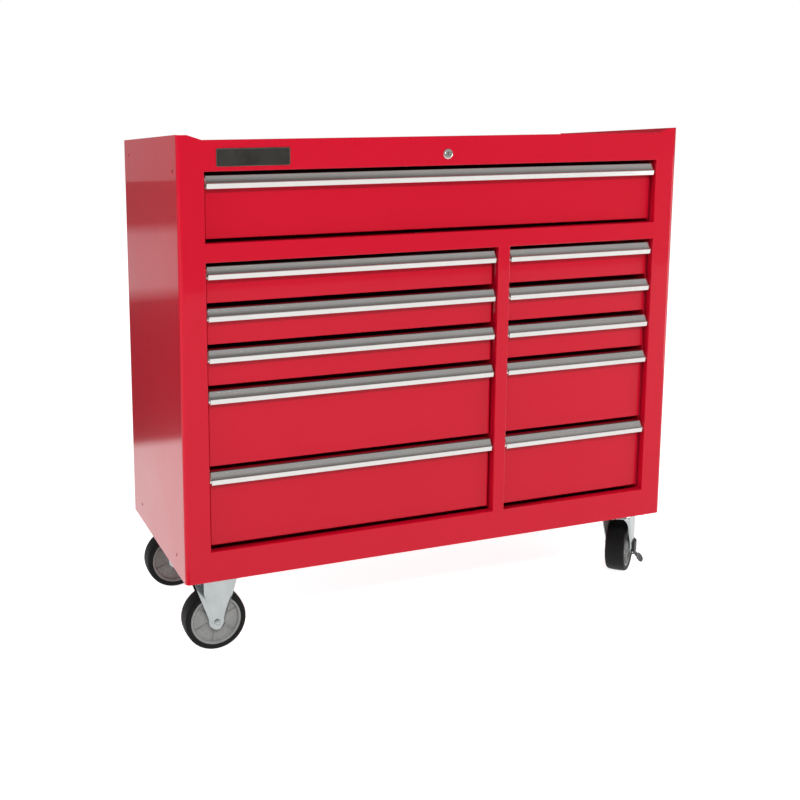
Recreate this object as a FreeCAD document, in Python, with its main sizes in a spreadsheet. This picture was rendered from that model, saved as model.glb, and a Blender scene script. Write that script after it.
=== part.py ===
"""Rolling tool chest: folded steel case, eleven ball-bearing drawers, central lock, four casters.

Millimetres, +Z up, the front faces -Y. The floor is z = 0 and the origin is the middle of the
footprint. Every driving size is a cell of the sheet "dims"; the objects are bound to its aliases.
"""
import FreeCAD, Part
import os
import re

import Sketcher

# Driving dimensions: alias -> value in millimetres (angles in degrees).
DIMS = {
    # case
    "case_width": 1067, "case_depth": 458, "case_height": 840, "case_x": -8.64, "case_y": 0.75,
    "skin": 1.2, "corner_radius": 14, "post_width": 49.5, "lip_depth": 17.5, "back_lip": 16,
    "ear_height": 9, "ear_flat": 19, "ear_run": 27, "side_fall": 39, "side_hole": 3.5,
    "hole_mid": -5, "top_hole_half": 189.5, "top_hole_drop": 58,
    "low_hole_half": 153, "low_hole_rise": 37,
    # front rails, from the top down
    "header_height": 57.3, "header_depth": 28, "header_tongue": 34, "top_bay": 130.7,
    "mid_rail": 35.7, "base_rail": 60,
    # top tray and bottom panel
    "tray_drop": 48, "tray_wall": 11, "floor_wall": 25,
    # divider post between the two columns of drawers
    "divider_x": 129.5, "divider_width": 26, "divider_back": 196,
    # upright channels that carry the slides
    "upright_width": 46, "upright_front": -206, "upright_rear": 142,
    # drawers
    "recess": 17, "side_gap": 4.6, "first_gap": 9.3, "drawer_gap": 10.2,
    "small_front": 68.4, "large_front": 147, "wide_front": 116, "wide_gap": 8.7,
    "plate": 1, "front_fold": 12, "tub_rise": 4, "tub_below_pull": 10, "tub_back": 195,
    # pulls: depth in front of the drawer front, height, wall, slope and nose
    "pull_depth": 15.4, "pull_height": 23, "pull_wall": 1.6, "pull_shelf": 4, "pull_slope": 12,
    "pull_nose": 2, "pull_proud": 0.6, "pull_edge": 0.8,
    # slides: thickness of the set, lengths and member sizes
    "slide_thick": 12.7, "slide_play": 0.3, "slide_front": -198, "slide_back": 195,
    "slide_rise": 31, "rail_half": 22.5, "mid_half": 18, "inner_half": 12.5, "slide_wall": 1.2,
    # lock
    "lock_radius": 9, "lock_rim": 10, "lock_drop": 34.7, "lock_depth": 20, "plug_radius": 6.2,
    "rim_proud": 1.5, "key_width": 2.2, "key_length": 8, "key_depth": 12,
    "cam_reach": 23.5, "cam_width": 7, "cam_thick": 3, "bar_start": 19, "bar_thick": 1.5,
    "bar_width": 16, "bar_top": 53.5, "bar_back": 200,
    # hooks of the lock bar: drop, width and reach of a hook, and the strap that carries a pair
    "hook_gap": 1.5, "hook_width": 12, "hook_reach": 12, "strap_rise": 8, "strap_height": 12,
    "strap_over": 30,
    # badge
    "badge_left": -461.5, "badge_width": 140, "badge_height": 33, "badge_drop": 15.5,
    "badge_proud": 1.1,
    # casters
    "caster_height": 160, "caster_inset_x": 68, "caster_inset_y": 63, "plate_thick": 4,
    "plate_x": 100, "plate_y": 92, "bolt_x": 38, "bolt_y": 37, "bolt_radius": 4, "hole_play": 0.25,
    "nut_radius": 7, "nut_height": 6,
    "wheel_radius": 61.5, "wheel_width": 43, "core_radius": 51.5, "core_width": 40,
    "hub_radius": 15, "hub_width": 48, "axle_radius": 5, "axle_play": 0.08, "web_width": 30,
    "tyre_edge": 4, "leg_gap": 50, "leg_thick": 3, "leg_tip": 15, "leg_top": 52, "trail": 40,
    "crown_radius": 36, "crown_top": 149.5, "crown_thick": 6, "race_radius": 33, "kingpin_radius": 6,
    # brake on the swivel casters
    "brake_pin": 2, "pedal_length": 30, "pedal_width": 32, "pedal_thick": 2, "pedal_angle": 50,
    "housing_half": 12, "housing_depth": 9, "housing_low": 52, "housing_high": 75,
    "brake_ear": 3, "brake_ear_low": 43, "brake_axis": 47.5, "brake_out": 5,
    # how far a cutting tool runs past the metal, and the gap of nested folds
    "over": 1, "nest": 0.3,
}

doc = FreeCAD.newDocument("tool_chest")
sheet = doc.addObject("Spreadsheet::Sheet", "dims")
for row, (alias, number) in enumerate(DIMS.items(), start=1):
    sheet.set(f"A{row}", alias)
    sheet.set(f"B{row}", str(number))
    sheet.setAlias(f"B{row}", alias)
doc.recompute()

PIECES = []
WORD = re.compile(r"[a-z_]+[0-9]?")


def bound(expression):
    """The expression with every alias pointed at the sheet."""
    return WORD.sub(lambda word: "dims." + word.group() if word.group() in DIMS else word.group(),
                    str(expression))


def value(expression):
    """The number that an expression of aliases stands for, from FreeCAD's own parser."""
    text = WORD.sub(lambda word: str(DIMS[word.group()]), str(expression))
    return FreeCAD.Units.Quantity(text).Value


def bind(item, path, expression):
    item.setExpression(path, bound(expression))


def move(item, x=0, y=0, z=0):
    """Place an object by expressions, keeping its rotation."""
    for letter, place in zip("xyz", (x, y, z)):
        bind(item, f"Placement.Base.{letter}", place)
    return item


def box(low, high):
    """A block between two corners, each given as three expressions."""
    item = doc.addObject("Part::Box", "block")
    for size, start, end in zip(("Length", "Width", "Height"), low, high):
        bind(item, size, f"({end}) - ({start})")
    return move(item, *low)


def rod(centre, radius, length, axis="z"):
    """A cylinder that starts at centre and runs along +axis."""
    item = doc.addObject("Part::Cylinder", "rod")
    turn = {"z": FreeCAD.Rotation(),
            "x": FreeCAD.Rotation(FreeCAD.Vector(0, 1, 0), 90),
            "y": FreeCAD.Rotation(FreeCAD.Vector(1, 0, 0), -90)}[axis]
    item.Placement = FreeCAD.Placement(FreeCAD.Vector(), turn)
    bind(item, "Radius", radius)
    bind(item, "Height", length)
    return move(item, *centre)


def fuse(*items):
    joined = doc.addObject("Part::MultiFuse", "joined")
    joined.Shapes = list(items)
    joined.Refine = True
    return joined


def cut(base, *tools):
    result = doc.addObject("Part::Cut", "trimmed")
    result.Base = base
    result.Tool = tools[0] if len(tools) == 1 else fuse(*tools)
    return result


def group(*items):
    """Separate solids that share one node."""
    bundle = doc.addObject("Part::Compound", "bundle")
    bundle.Links = list(items)
    return bundle


def mirror(item):
    """The same piece on the other side of the case's middle plane."""
    copy = doc.addObject("Part::Mirroring", "mirror")
    copy.Source = item
    copy.Normal = FreeCAD.Vector(1, 0, 0)
    bind(copy, "Base.x", "case_x")
    return copy


def outline_sketch(body, plane, points):
    """A closed straight-sided sketch on an origin plane of the body, every corner bound to the sheet."""
    sketch = body.newObject("Sketcher::SketchObject", "outline")
    origin_plane = [item for item in body.Origin.OriginFeatures if item.Role == plane + "_Plane"][0]
    sketch.AttachmentSupport = [(origin_plane, "")]
    sketch.MapMode = "FlatFace"
    corners = [FreeCAD.Vector(value(across), value(up), 0) for across, up in points]
    count = len(corners)
    for index in range(count):
        sketch.addGeometry(Part.LineSegment(corners[index], corners[(index + 1) % count]))
    for index in range(count):
        sketch.addConstraint(Sketcher.Constraint("Coincident", index, 2, (index + 1) % count, 1))
    for index, (point, corner) in enumerate(zip(points, corners)):
        for kind, expression, number in zip(("DistanceX", "DistanceY"), point, corner):
            name = sketch.addConstraint(Sketcher.Constraint(kind, -1, 1, index, 1, number))
            sketch.setExpression(f"Constraints[{name}]", bound(expression))
    return sketch


def prism(plane, points, start, length):
    """A straight-sided outline on XY, XZ or YZ, padded from start along the plane's positive axis."""
    body = doc.addObject("PartDesign::Body", "prism")
    sketch = outline_sketch(body, plane, points)
    pad = body.newObject("PartDesign::Pad", "pad")
    pad.Profile = sketch
    pad.Reversed = plane == "XZ"
    bind(pad, "Length", length)
    bind(body, "Placement.Base." + {"XY": "z", "XZ": "y", "YZ": "x"}[plane], start)
    return body


def turned(outline):
    """A ring or disc about the local Z axis, from half-section points (radius, height)."""
    body = doc.addObject("PartDesign::Body", "turned")
    sketch = outline_sketch(body, "XZ", outline)
    spin = body.newObject("PartDesign::Revolution", "revolution")
    spin.Profile = sketch
    spin.ReferenceAxis = (sketch, ["V_Axis"])
    spin.Angle = 360
    return body


def piece(label, item):
    """Register a finished sub-part under the name of its file."""
    item.Label = label
    PIECES.append(item)
    return item


# Places used again and again, all as expressions of the sheet.
FRONT = "case_y - case_depth / 2"
BACK = "case_y + case_depth / 2"
WALL = "case_x - case_width / 2"
OPEN_LEFT = f"{WALL} + post_width"
WALL_RIGHT = "case_x + case_width / 2"
OPEN_RIGHT = f"{WALL_RIGHT} - post_width"
BASE = "caster_height"
TOP = "caster_height + case_height"
HEADER_LOW = f"{TOP} - header_height"
MID_HIGH = f"{HEADER_LOW} - top_bay"
COLUMN_TOP = f"{MID_HIGH} - mid_rail"
COLUMN_BASE = f"{BASE} + base_rail"
DIVIDER_LEFT = "case_x + divider_x - divider_width / 2"
DIVIDER_RIGHT = "case_x + divider_x + divider_width / 2"
FACE = f"{FRONT} + recess"
TRAY = f"{TOP} - tray_drop"


def side_panel():
    """Left side: wall, rounded front corner, front post, its return, the back lip and the holes."""
    over = f"{TOP} + ear_height"
    wall = box((WALL, f"{FRONT} + corner_radius", BASE), (f"{WALL} + skin", BACK, over))
    post = box((f"{WALL} + corner_radius", FRONT, BASE), (OPEN_LEFT, f"{FRONT} + skin", over))
    lip = box((f"{OPEN_LEFT} - skin", FRONT, BASE), (OPEN_LEFT, f"{FRONT} + lip_depth", over))
    back = box((WALL, f"{BACK} - skin", BASE), (f"{WALL} + back_lip", BACK, over))
    corner_axis = (f"{WALL} + corner_radius", f"{FRONT} + corner_radius", BASE)
    height = "case_height + ear_height"
    ring = cut(rod(corner_axis, "corner_radius", height), rod(corner_axis, "corner_radius - skin", height))
    corner = doc.addObject("Part::Common", "corner")
    corner.Base = ring
    corner.Tool = box((WALL, FRONT, BASE), (f"{WALL} + corner_radius", f"{FRONT} + corner_radius", over))
    shell = fuse(wall, post, lip, back, corner)
    ear = prism("XZ", [(f"{WALL} + ear_flat", f"{over} + 1"), (f"{WALL} + ear_flat", over),
                       (f"{WALL} + ear_flat + ear_run", TOP), (f"{OPEN_LEFT} + 1", TOP),
                       (f"{OPEN_LEFT} + 1", f"{over} + 1")],
                f"{FRONT} - 1", "corner_radius + lip_depth")
    fall = prism("YZ", [(f"{FRONT} + corner_radius", f"{over} + 1"), (f"{FRONT} + corner_radius", over),
                        (f"{BACK} + 1", f"{over} - side_fall"), (f"{BACK} + 1", f"{over} + 1")],
                 f"{WALL} - 1", "post_width + 2")
    holes = [rod((f"{WALL} - 1", f"case_y + hole_mid + ({side}) * {half}", height), "side_hole", 4, "x")
             for half, height in (("top_hole_half", f"{TOP} - top_hole_drop"),
                                  ("low_hole_half", f"{BASE} + low_hole_rise"))
             for side in (-1, 1)]
    return cut(shell, ear, fall, *holes)


def case_panels():
    left = piece("side_panel_left", side_panel())
    piece("side_panel_right", mirror(left))
    inner_left = f"{WALL} + skin"
    inner_right = f"{WALL_RIGHT} - skin"
    inner_back = f"{BACK} - skin"
    back_top = f"{TRAY} + skin + tray_wall - 3"
    plate = box((inner_left, f"{inner_back} - skin", BASE), (inner_right, inner_back, back_top))
    piece("back_panel", plate)

    tray_front = f"{FRONT} + header_depth"
    tray_back = f"{inner_back} - skin"
    tray_high = f"{TRAY} + skin + tray_wall"
    shell = box((inner_left, tray_front, TRAY), (inner_right, tray_back, tray_high))
    hollow = box((f"{inner_left} + skin", f"{tray_front} + skin", f"{TRAY} + skin"),
                 (f"{inner_right} - skin", f"{tray_back} - skin", f"{tray_high} + 1"))
    piece("top_tray", cut(shell, hollow))

    floor_high = f"{BASE} + floor_wall"
    shell = box((inner_left, f"{FRONT} + skin", BASE), (inner_right, tray_back, floor_high))
    hollow = box((f"{inner_left} + skin", f"{FRONT}", f"{BASE} + skin"),
                 (f"{inner_right} - skin", f"{tray_back} - skin", f"{floor_high} + 1"))
    corners = [box((f"{start} - post_width", f"{FRONT}", f"{BASE} - 1"),
                   (f"{start}", f"{FRONT} + lip_depth + 0.5", f"{floor_high} + 1"))
               for start in (OPEN_LEFT, WALL_RIGHT)]
    piece("bottom_panel", cut(shell, hollow, *corners, *caster_holes()))


def caster_places():
    """The four caster positions: name, x, y, and the direction in which a swivel wheel trails."""
    left = f"{WALL} + caster_inset_x"
    right = f"{WALL_RIGHT} - caster_inset_x"
    front = f"{FRONT} + caster_inset_y"
    rear = f"{BACK} - caster_inset_y"
    return [("rigid_front", left, front, None), ("rigid_rear", left, rear, None),
            ("swivel_front", right, front, 45), ("swivel_rear", right, rear, 180)]


def bolt_places(x, y):
    return [(f"{x} + ({side_x}) * bolt_x", f"{y} + ({side_y}) * bolt_y")
            for side_x in (-1, 1) for side_y in (-1, 1)]


def caster_holes():
    """The clearance holes for the caster bolts through the bottom panel and the caster plates."""
    return [rod((hole_x, hole_y, f"{BASE} - plate_thick - 1"), "bolt_radius + hole_play",
                "plate_thick + skin + 2")
            for _, x, y, _ in caster_places() for hole_x, hole_y in bolt_places(x, y)]


def rail(low, high, lip_low=True, lip_high=True):
    """A front rail between the posts: face with a return along each edge."""
    parts = [box((OPEN_LEFT, FRONT, low), (OPEN_RIGHT, f"{FRONT} + skin", high))]
    if lip_low:
        parts.append(box((OPEN_LEFT, FRONT, low), (OPEN_RIGHT, f"{FRONT} + lip_depth", f"{low} + skin")))
    if lip_high:
        parts.append(box((OPEN_LEFT, FRONT, f"{high} - skin"), (OPEN_RIGHT, f"{FRONT} + lip_depth", high)))
    return fuse(*parts)


def front_rails():
    """Header with its cap and rear wall, rail under the wide drawer, and base rail."""
    tray_front = f"{FRONT} + header_depth"
    face = box((OPEN_LEFT, FRONT, HEADER_LOW), (OPEN_RIGHT, f"{FRONT} + skin", TOP))
    low_lip = box((OPEN_LEFT, FRONT, HEADER_LOW),
                  (OPEN_RIGHT, f"{FRONT} + lip_depth", f"{HEADER_LOW} + skin"))
    cap = box((OPEN_LEFT, FRONT, f"{TOP} - skin"), (OPEN_RIGHT, tray_front, TOP))
    ends = [box((start, f"{FRONT} + skin + nest", f"{TOP} - skin"), (end, tray_front, TOP))
            for start, end in ((f"{OPEN_LEFT} - header_tongue", OPEN_LEFT),
                               (OPEN_RIGHT, f"{OPEN_RIGHT} + header_tongue"))]
    rear = box((f"{OPEN_LEFT} - header_tongue", f"{tray_front} - skin", TRAY),
               (f"{OPEN_RIGHT} + header_tongue", tray_front, TOP))
    post_ends = ((f"{OPEN_LEFT} - skin", OPEN_LEFT), (OPEN_RIGHT, f"{OPEN_RIGHT} + skin"))
    post_clear = [box((start, FRONT, f"{TOP} - skin - over"),
                      (end, f"{FRONT} + lip_depth", f"{TOP} + over"))
                  for start, end in post_ends]
    lock_hole = rod(("case_x", f"{FRONT} - 1", f"{TOP} - lock_drop"), "lock_radius + 0.1", 4, "y")
    header = cut(fuse(face, low_lip, cap, rear, *ends), lock_hole, *post_clear)
    base = rail(BASE, COLUMN_BASE, lip_low=False)
    piece("front_rails", group(header, rail(COLUMN_TOP, MID_HIGH), base))


def slide_supports():
    """Divider channel between the columns and the four uprights behind the posts."""
    outer = box((DIVIDER_LEFT, FRONT, COLUMN_BASE), (DIVIDER_RIGHT, "case_y + divider_back", COLUMN_TOP))
    inner = box((f"{DIVIDER_LEFT} + skin", f"{FRONT} + skin", f"{COLUMN_BASE} - 1"),
                (f"{DIVIDER_RIGHT} - skin", "case_y + divider_back + 1", f"{COLUMN_TOP} + 1"))
    divider = cut(outer, inner)
    uprights = []
    for start in ("upright_front", "upright_rear"):
        low_y = f"case_y + {start}"
        high_y = f"case_y + {start} + upright_width"
        outer = box((f"{WALL} + skin", low_y, f"{BASE} + floor_wall + 1"),
                    (OPEN_LEFT, high_y, f"{TRAY} - 1"))
        inner = box((f"{WALL}", f"{low_y} + skin", BASE), (f"{OPEN_LEFT} - skin", f"{high_y} - skin", TOP))
        upright = cut(outer, inner)
        uprights += [upright, mirror(upright)]
    piece("slide_supports", group(divider, *uprights))


def drawer_plan():
    """Every drawer: name, left and right side of its opening, and bottom and top of its front."""
    high = f"{HEADER_LOW} - wide_gap"
    plan = [("top", OPEN_LEFT, OPEN_RIGHT, f"{high} - wide_front", high)]
    for side, left, right in (("left", OPEN_LEFT, DIVIDER_LEFT), ("right", DIVIDER_RIGHT, OPEN_RIGHT)):
        high = f"{COLUMN_TOP} - first_gap"
        for number in range(1, 6):
            low = f"{high} - {'small_front' if number < 4 else 'large_front'}"
            plan.append((f"{side}_{number}", left, right, low, high))
            high = f"{low} - drawer_gap"
    return plan


# Slide members as distances from the side of the drawer's box: near edge, far edge, half height.
CABINET_RAIL = ("4", "slide_thick + slide_play", "rail_half")
MIDDLE_RAIL = ("1.8", "8.8", "mid_half")
DRAWER_RAIL = ("0", "6.2", "inner_half")


def slide_member(edge, way, low, member, web_far=True):
    """A channel along Y beside a drawer: edge is the box's side, way the direction to the case."""
    near, far, half = member
    middle = f"{low} + slide_rise"
    front, back = "case_y + slide_front", "case_y + slide_back"

    def strip(start, end, bottom, top):
        places = sorted((f"{edge} + ({way}) * ({start})", f"{edge} + ({way}) * ({end})"), key=value)
        return box((places[0], front, bottom), (places[1], back, top))

    web = (f"{far} - slide_wall", far) if web_far else (near, f"{near} + slide_wall")
    return fuse(strip(*web, f"{middle} - {half}", f"{middle} + {half}"),
                strip(near, far, f"{middle} - {half}", f"{middle} - {half} + slide_wall"),
                strip(near, far, f"{middle} + {half} - slide_wall", f"{middle} + {half}"))


def tub_sides(left, right):
    """The outer faces of a drawer's box, each with the direction out to the case."""
    return ((f"{left} + slide_thick + slide_play", -1), (f"{right} - slide_thick - slide_play", 1))


def drawer_box(left, right, low, high):
    """Front with folded edges and the box behind it, with its two inner slide members."""
    face_left, face_right = f"{left} + side_gap", f"{right} - side_gap"
    fold_back = f"{FACE} + front_fold"
    front = cut(box((face_left, FACE, low), (face_right, fold_back, high)),
                box((f"{face_left} + plate", f"{FACE} + plate", f"{low} + plate"),
                    (f"{face_right} - plate", f"{fold_back} + 1", f"{high} - plate")))
    sides = tub_sides(left, right)
    tub_left, tub_right = sides[0][0], sides[1][0]
    tub_low, tub_high = f"{low} + tub_rise", f"{high} - tub_below_pull"
    tub_end = "case_y + tub_back"
    tub = cut(box((tub_left, FACE, tub_low), (tub_right, tub_end, tub_high)),
              box((f"{tub_left} + plate", f"{FACE} + plate", f"{tub_low} + plate"),
                  (f"{tub_right} - plate", f"{tub_end} - plate", f"{tub_high} + 1")))
    rails = [slide_member(edge, way, low, DRAWER_RAIL, web_far=False) for edge, way in sides]
    return group(fuse(front, tub), *rails)


def pull(left, right, high):
    """Hollow-nosed pull along the top of a front, open underneath for the fingers."""
    nose = "pull_depth + pull_proud"
    inner = f"{nose} - pull_wall"
    shelf_low = "pull_wall + pull_edge / 4"
    section = [("0", "pull_height"), ("0", "0"), ("pull_shelf", "0"), ("pull_depth", "pull_slope"),
               (nose, "pull_slope + pull_nose"), (nose, "pull_height - pull_nose"),
               (f"{nose} - pull_nose", "pull_height"), (f"{inner} - pull_nose", "pull_height - pull_edge"),
               (inner, "pull_height - pull_nose - pull_edge"), (inner, "pull_slope + pull_nose"),
               ("pull_shelf + pull_edge / 2", shelf_low), ("pull_wall", shelf_low),
               ("pull_wall", "pull_height")]
    points = [(f"{FACE} - ({out})", f"{high} - ({down})") for out, down in section]
    return prism("YZ", points, f"{left} + side_gap", f"({right}) - ({left}) - 2 * side_gap")


def drawers():
    """The eleven drawers with their pulls, and the slides that carry them."""
    cabinet_rails = []
    for name, left, right, low, high in drawer_plan():
        piece(f"drawer_{name}_box", drawer_box(left, right, low, high))
        piece(f"drawer_{name}_pull", pull(left, right, high))
        sides = tub_sides(left, right)
        piece(f"drawer_{name}_mid_rails",
              group(*[slide_member(edge, way, low, MIDDLE_RAIL) for edge, way in sides]))
        cabinet_rails += [slide_member(edge, way, low, CABINET_RAIL) for edge, way in sides]
    piece("slide_cabinet_rails", group(*cabinet_rails))


def lock_bar():
    """The sheet-metal bar that the lock's cam lowers: its hooks drop in front of the drawers' back walls."""
    bar_high = f"{TOP} - bar_top"
    bar_low = f"{bar_high} - bar_thick"
    bar_end = "case_y + bar_back"
    middle = "case_x + divider_x"
    side = "bar_width / 2"
    strip = box((f"case_x - {side}", f"{FRONT} + bar_start", bar_low),
                (f"case_x + {side}", f"{bar_end} - bar_width", bar_high))
    cross = box((f"case_x - {side}", f"{bar_end} - bar_width", bar_low),
                (f"{middle} + {side}", bar_end, bar_high))
    plan = drawer_plan()[:6]
    rims = [f"{high} - tub_below_pull" for _, _, _, _, high in plan]
    upright = box((f"{middle} - {side}", f"{bar_end} - bar_thick", f"{rims[-1]} + strap_rise"),
                  (f"{middle} + {side}", bar_end, bar_low))
    hook_front = f"{bar_end} - hook_reach"
    hook_back = f"{hook_front} + bar_thick"
    parts = [strip, cross, upright,
             box((f"{middle} - hook_width / 2", hook_front, f"{rims[0]} + hook_gap"),
                 (f"{middle} + hook_width / 2", hook_back, bar_low))]
    strap_front = f"{bar_end} - 2 * bar_thick"
    for rim in rims[1:]:
        strap_low = f"{rim} + strap_rise"
        parts.append(box((f"{DIVIDER_LEFT} - strap_over", strap_front, strap_low),
                         (f"{DIVIDER_RIGHT} + strap_over", f"{bar_end} - bar_thick",
                          f"{strap_low} + strap_height")))
        for start in (f"{DIVIDER_LEFT} - strap_over", f"{DIVIDER_RIGHT} + strap_over - hook_width"):
            parts.append(fuse(box((start, hook_front, strap_low),
                                  (f"{start} + hook_width", strap_front, f"{strap_low} + bar_thick")),
                              box((start, hook_front, f"{rim} + hook_gap"),
                                  (f"{start} + hook_width", hook_back, f"{strap_low} + bar_thick"))))
    return group(*parts)


def lock_and_badge():
    """Lock body, turning cylinder with its cam, the bar that it lowers, and the blank badge."""
    height = f"{TOP} - lock_drop"
    rim = rod(("case_x", f"{FRONT} - rim_proud", height), "lock_rim", "rim_proud", "y")
    barrel = rod(("case_x", FRONT, height), "lock_radius", "lock_depth", "y")
    bore = rod(("case_x", f"{FRONT} - 3", height), "plug_radius + axle_play", "lock_depth + 4", "y")
    piece("lock_body", cut(fuse(rim, barrel), bore))

    plug = rod(("case_x", f"{FRONT} - rim_proud", height),
               "plug_radius", "lock_depth + rim_proud + over", "y")
    keyway = box(("case_x - key_width / 2", f"{FRONT} - 2 * rim_proud", f"{height} - key_length / 2"),
                 ("case_x + key_width / 2", f"{FRONT} + key_depth", f"{height} + key_length / 2"))
    cam_near = f"{FRONT} + lock_depth + over"
    cam = box(("case_x - cam_width / 2", cam_near, f"{height} - cam_width / 2"),
              ("case_x + cam_reach", f"{cam_near} + cam_thick", f"{height} + cam_width / 2"))
    piece("lock_cylinder", fuse(cut(plug, keyway), cam))
    piece("lock_bar", lock_bar())

    badge_low = f"{TOP} - badge_drop - badge_height"
    piece("badge_plate", box(("case_x + badge_left", f"{FRONT} - badge_proud", badge_low),
                             ("case_x + badge_left + badge_width", FRONT, f"{badge_low} + badge_height")))


def seat(item, x, y, angle=0):
    """A caster part from its own frame, with the axle along Y, to its place under the case."""
    placed = doc.addObject("Part::Compound", "seated")
    placed.Links = [item]
    placed.Placement = FreeCAD.Placement(FreeCAD.Vector(), FreeCAD.Rotation(FreeCAD.Vector(0, 0, 1), angle))
    return move(placed, x, y, 0)


def caster_plate():
    """Top plate of a caster about its own centre, with its four bolt holes."""
    plate = box(("-plate_x / 2", "-plate_y / 2", f"{BASE} - plate_thick"),
                ("plate_x / 2", "plate_y / 2", BASE))
    return cut(plate, *[rod((x, y, f"{BASE} - plate_thick - over"), "bolt_radius + hole_play",
                            "plate_thick + 2 * over")
                        for x, y in bolt_places("0", "0")])


def legs(axle_x, left, right, high):
    """Two fork legs tapering to round tips at the axle, with the axle's holes."""
    parts = []
    for inner in ("leg_gap / 2", "-leg_gap / 2 - leg_thick"):
        outline = [(left, high), (right, high), (f"{axle_x} + leg_tip - 0.6", "wheel_radius + 5"),
                   (f"{axle_x} - leg_tip + 0.6", "wheel_radius + 5")]
        parts.append(prism("XZ", outline, inner, "leg_thick"))
        parts.append(rod((axle_x, inner, "wheel_radius"), "leg_tip", "leg_thick", "y"))
    return parts


def axle_hole(axle_x):
    return rod((axle_x, "-leg_gap", "wheel_radius"), "axle_radius + 0.05", "2 * leg_gap", "y")


def hexagon(centre, height, axis="z"):
    """A nut or bolt head that starts at centre and runs along +axis."""
    item = doc.addObject("Part::Prism", "hexagon")
    item.Polygon = 6
    bind(item, "Circumradius", "nut_radius")
    bind(item, "Height", height)
    if axis == "y":
        item.Placement.Rotation = FreeCAD.Rotation(FreeCAD.Vector(1, 0, 0), -90)
    return move(item, *centre)


def axle(axle_x, low, high):
    """An axle bolt along Y between two ends."""
    return rod((axle_x, low, "wheel_radius"), "axle_radius", f"({high}) - ({low})", "y")


def rigid_fork():
    plate = caster_plate()
    shape = fuse(plate, *legs("0", "-leg_top", "leg_top", f"{BASE} - plate_thick"))
    return cut(shape, axle_hole("0"))


def swivel_plate():
    """Fixed part of a swivel caster: top plate, upper race and kingpin with its head."""
    plate_low = f"{BASE} - plate_thick"
    race = rod(("0", "0", "crown_top + 0.3"), "race_radius", f"{plate_low} - crown_top - 0.3")
    crown_low = "crown_top - crown_thick"
    kingpin = rod(("0", "0", f"{crown_low} - 4.3"), "kingpin_radius", "crown_thick + 5")
    head = rod(("0", "0", f"{crown_low} - 4.3"), "kingpin_radius + 4", "4")
    return fuse(caster_plate(), race, kingpin, head)


def swivel_fork():
    """Turning part of a swivel caster: crown, bridge, legs, axle with its nut, brake housing and pin."""
    crown_low = "crown_top - crown_thick"
    crown = rod(("0", "0", crown_low), "crown_radius", "crown_thick")
    bridge = box(("-30", "-leg_gap / 2 - leg_thick", crown_low),
                 ("trail + 16", "leg_gap / 2 + leg_thick", f"{crown_low} + leg_thick"))
    frame = fuse(crown, bridge, *legs("trail", "-30", "trail + 16", crown_low + " + 1"))
    hole = rod(("0", "0", f"{crown_low} - 1"), "kingpin_radius + axle_play", "crown_thick + 2")
    outside = "-leg_gap / 2 - leg_thick"
    housing_front = f"{outside} - housing_depth"
    housing = box(("trail - housing_half", housing_front, "housing_low"),
                  ("trail + housing_half", outside, "housing_high"))
    ears = [box((low, housing_front, "brake_ear_low"), (high, f"{outside} - over", "housing_low"))
            for low, high in (("trail - housing_half", "trail - housing_half + brake_ear"),
                              ("trail + housing_half - brake_ear", "trail + housing_half"))]
    pin = rod(("trail - housing_half", f"{outside} - brake_out", "brake_axis"), "brake_pin",
              "2 * housing_half", "x")
    bolt = axle("trail", f"{outside} + 0.2", "leg_gap / 2 + leg_thick + 2")
    nut = hexagon(("trail", "leg_gap / 2 + leg_thick", "wheel_radius"), "nut_height", "y")
    return group(cut(frame, hole, axle_hole("trail")), fuse(housing, *ears, pin), fuse(bolt, nut))


def brake_pedal():
    """Knuckle on the brake pin with a sloping pad; the pad's frame has its hinge along X."""
    knuckle = rod(("-8.5", "0", "0"), "4", "17", "x")
    neck = box(("-8", "-11", "-1"), ("8", "-2", "1"))
    half = "pedal_width / 2"
    pad = prism("XY", [(f"-{half} + 6", "-9"), (f"{half} - 6", "-9"), (half, "-14"),
                       (half, "-pedal_length + 6"), (f"{half} - 7", "-pedal_length"),
                       (f"-{half} + 7", "-pedal_length"), (f"-{half}", "-pedal_length + 6"),
                       (f"-{half}", "-14")], "-1", "pedal_thick")
    whole = cut(fuse(knuckle, neck, pad), rod(("-10", "0", "0"), "brake_pin + axle_play", "20", "x"))
    whole.Placement.Rotation = FreeCAD.Rotation(FreeCAD.Vector(1, 0, 0), DIMS["pedal_angle"])
    return move(whole, "trail", "-leg_gap / 2 - leg_thick - brake_out", "brake_axis")


def wheel_core():
    """Plastic centre of a wheel about its own axis: hub, web and rim, bored for the axle."""
    bore, web, rim = "axle_radius + axle_play", "web_width / 2", "core_width / 2"
    half_section = [(bore, "hub_width / 2"), ("hub_radius", "hub_width / 2"), ("hub_radius + 2", web),
                    ("core_radius - 6", web), ("core_radius - 4", rim), ("core_radius", rim)]
    lower = [(radius, f"-({height})") for radius, height in reversed(half_section)]
    return turned(half_section + lower)


def wheel_tyre():
    half, edge = "wheel_width / 2", "tyre_edge"
    half_section = [("core_radius", half), (f"wheel_radius - {edge}", half),
                    (f"wheel_radius - {edge} * 0.3", f"{half} - {edge} * 0.3"),
                    ("wheel_radius", f"{half} - {edge}")]
    lower = [(radius, f"-({height})") for radius, height in reversed(half_section)]
    return turned(half_section + lower)


def upright_wheel(item, axle_x):
    """A turned wheel part stood on the floor with its axle along Y."""
    stood = doc.addObject("Part::Compound", "stood")
    stood.Links = [item]
    stood.Placement.Rotation = FreeCAD.Rotation(FreeCAD.Vector(1, 0, 0), 90)
    return move(stood, axle_x, 0, "wheel_radius")


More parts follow.
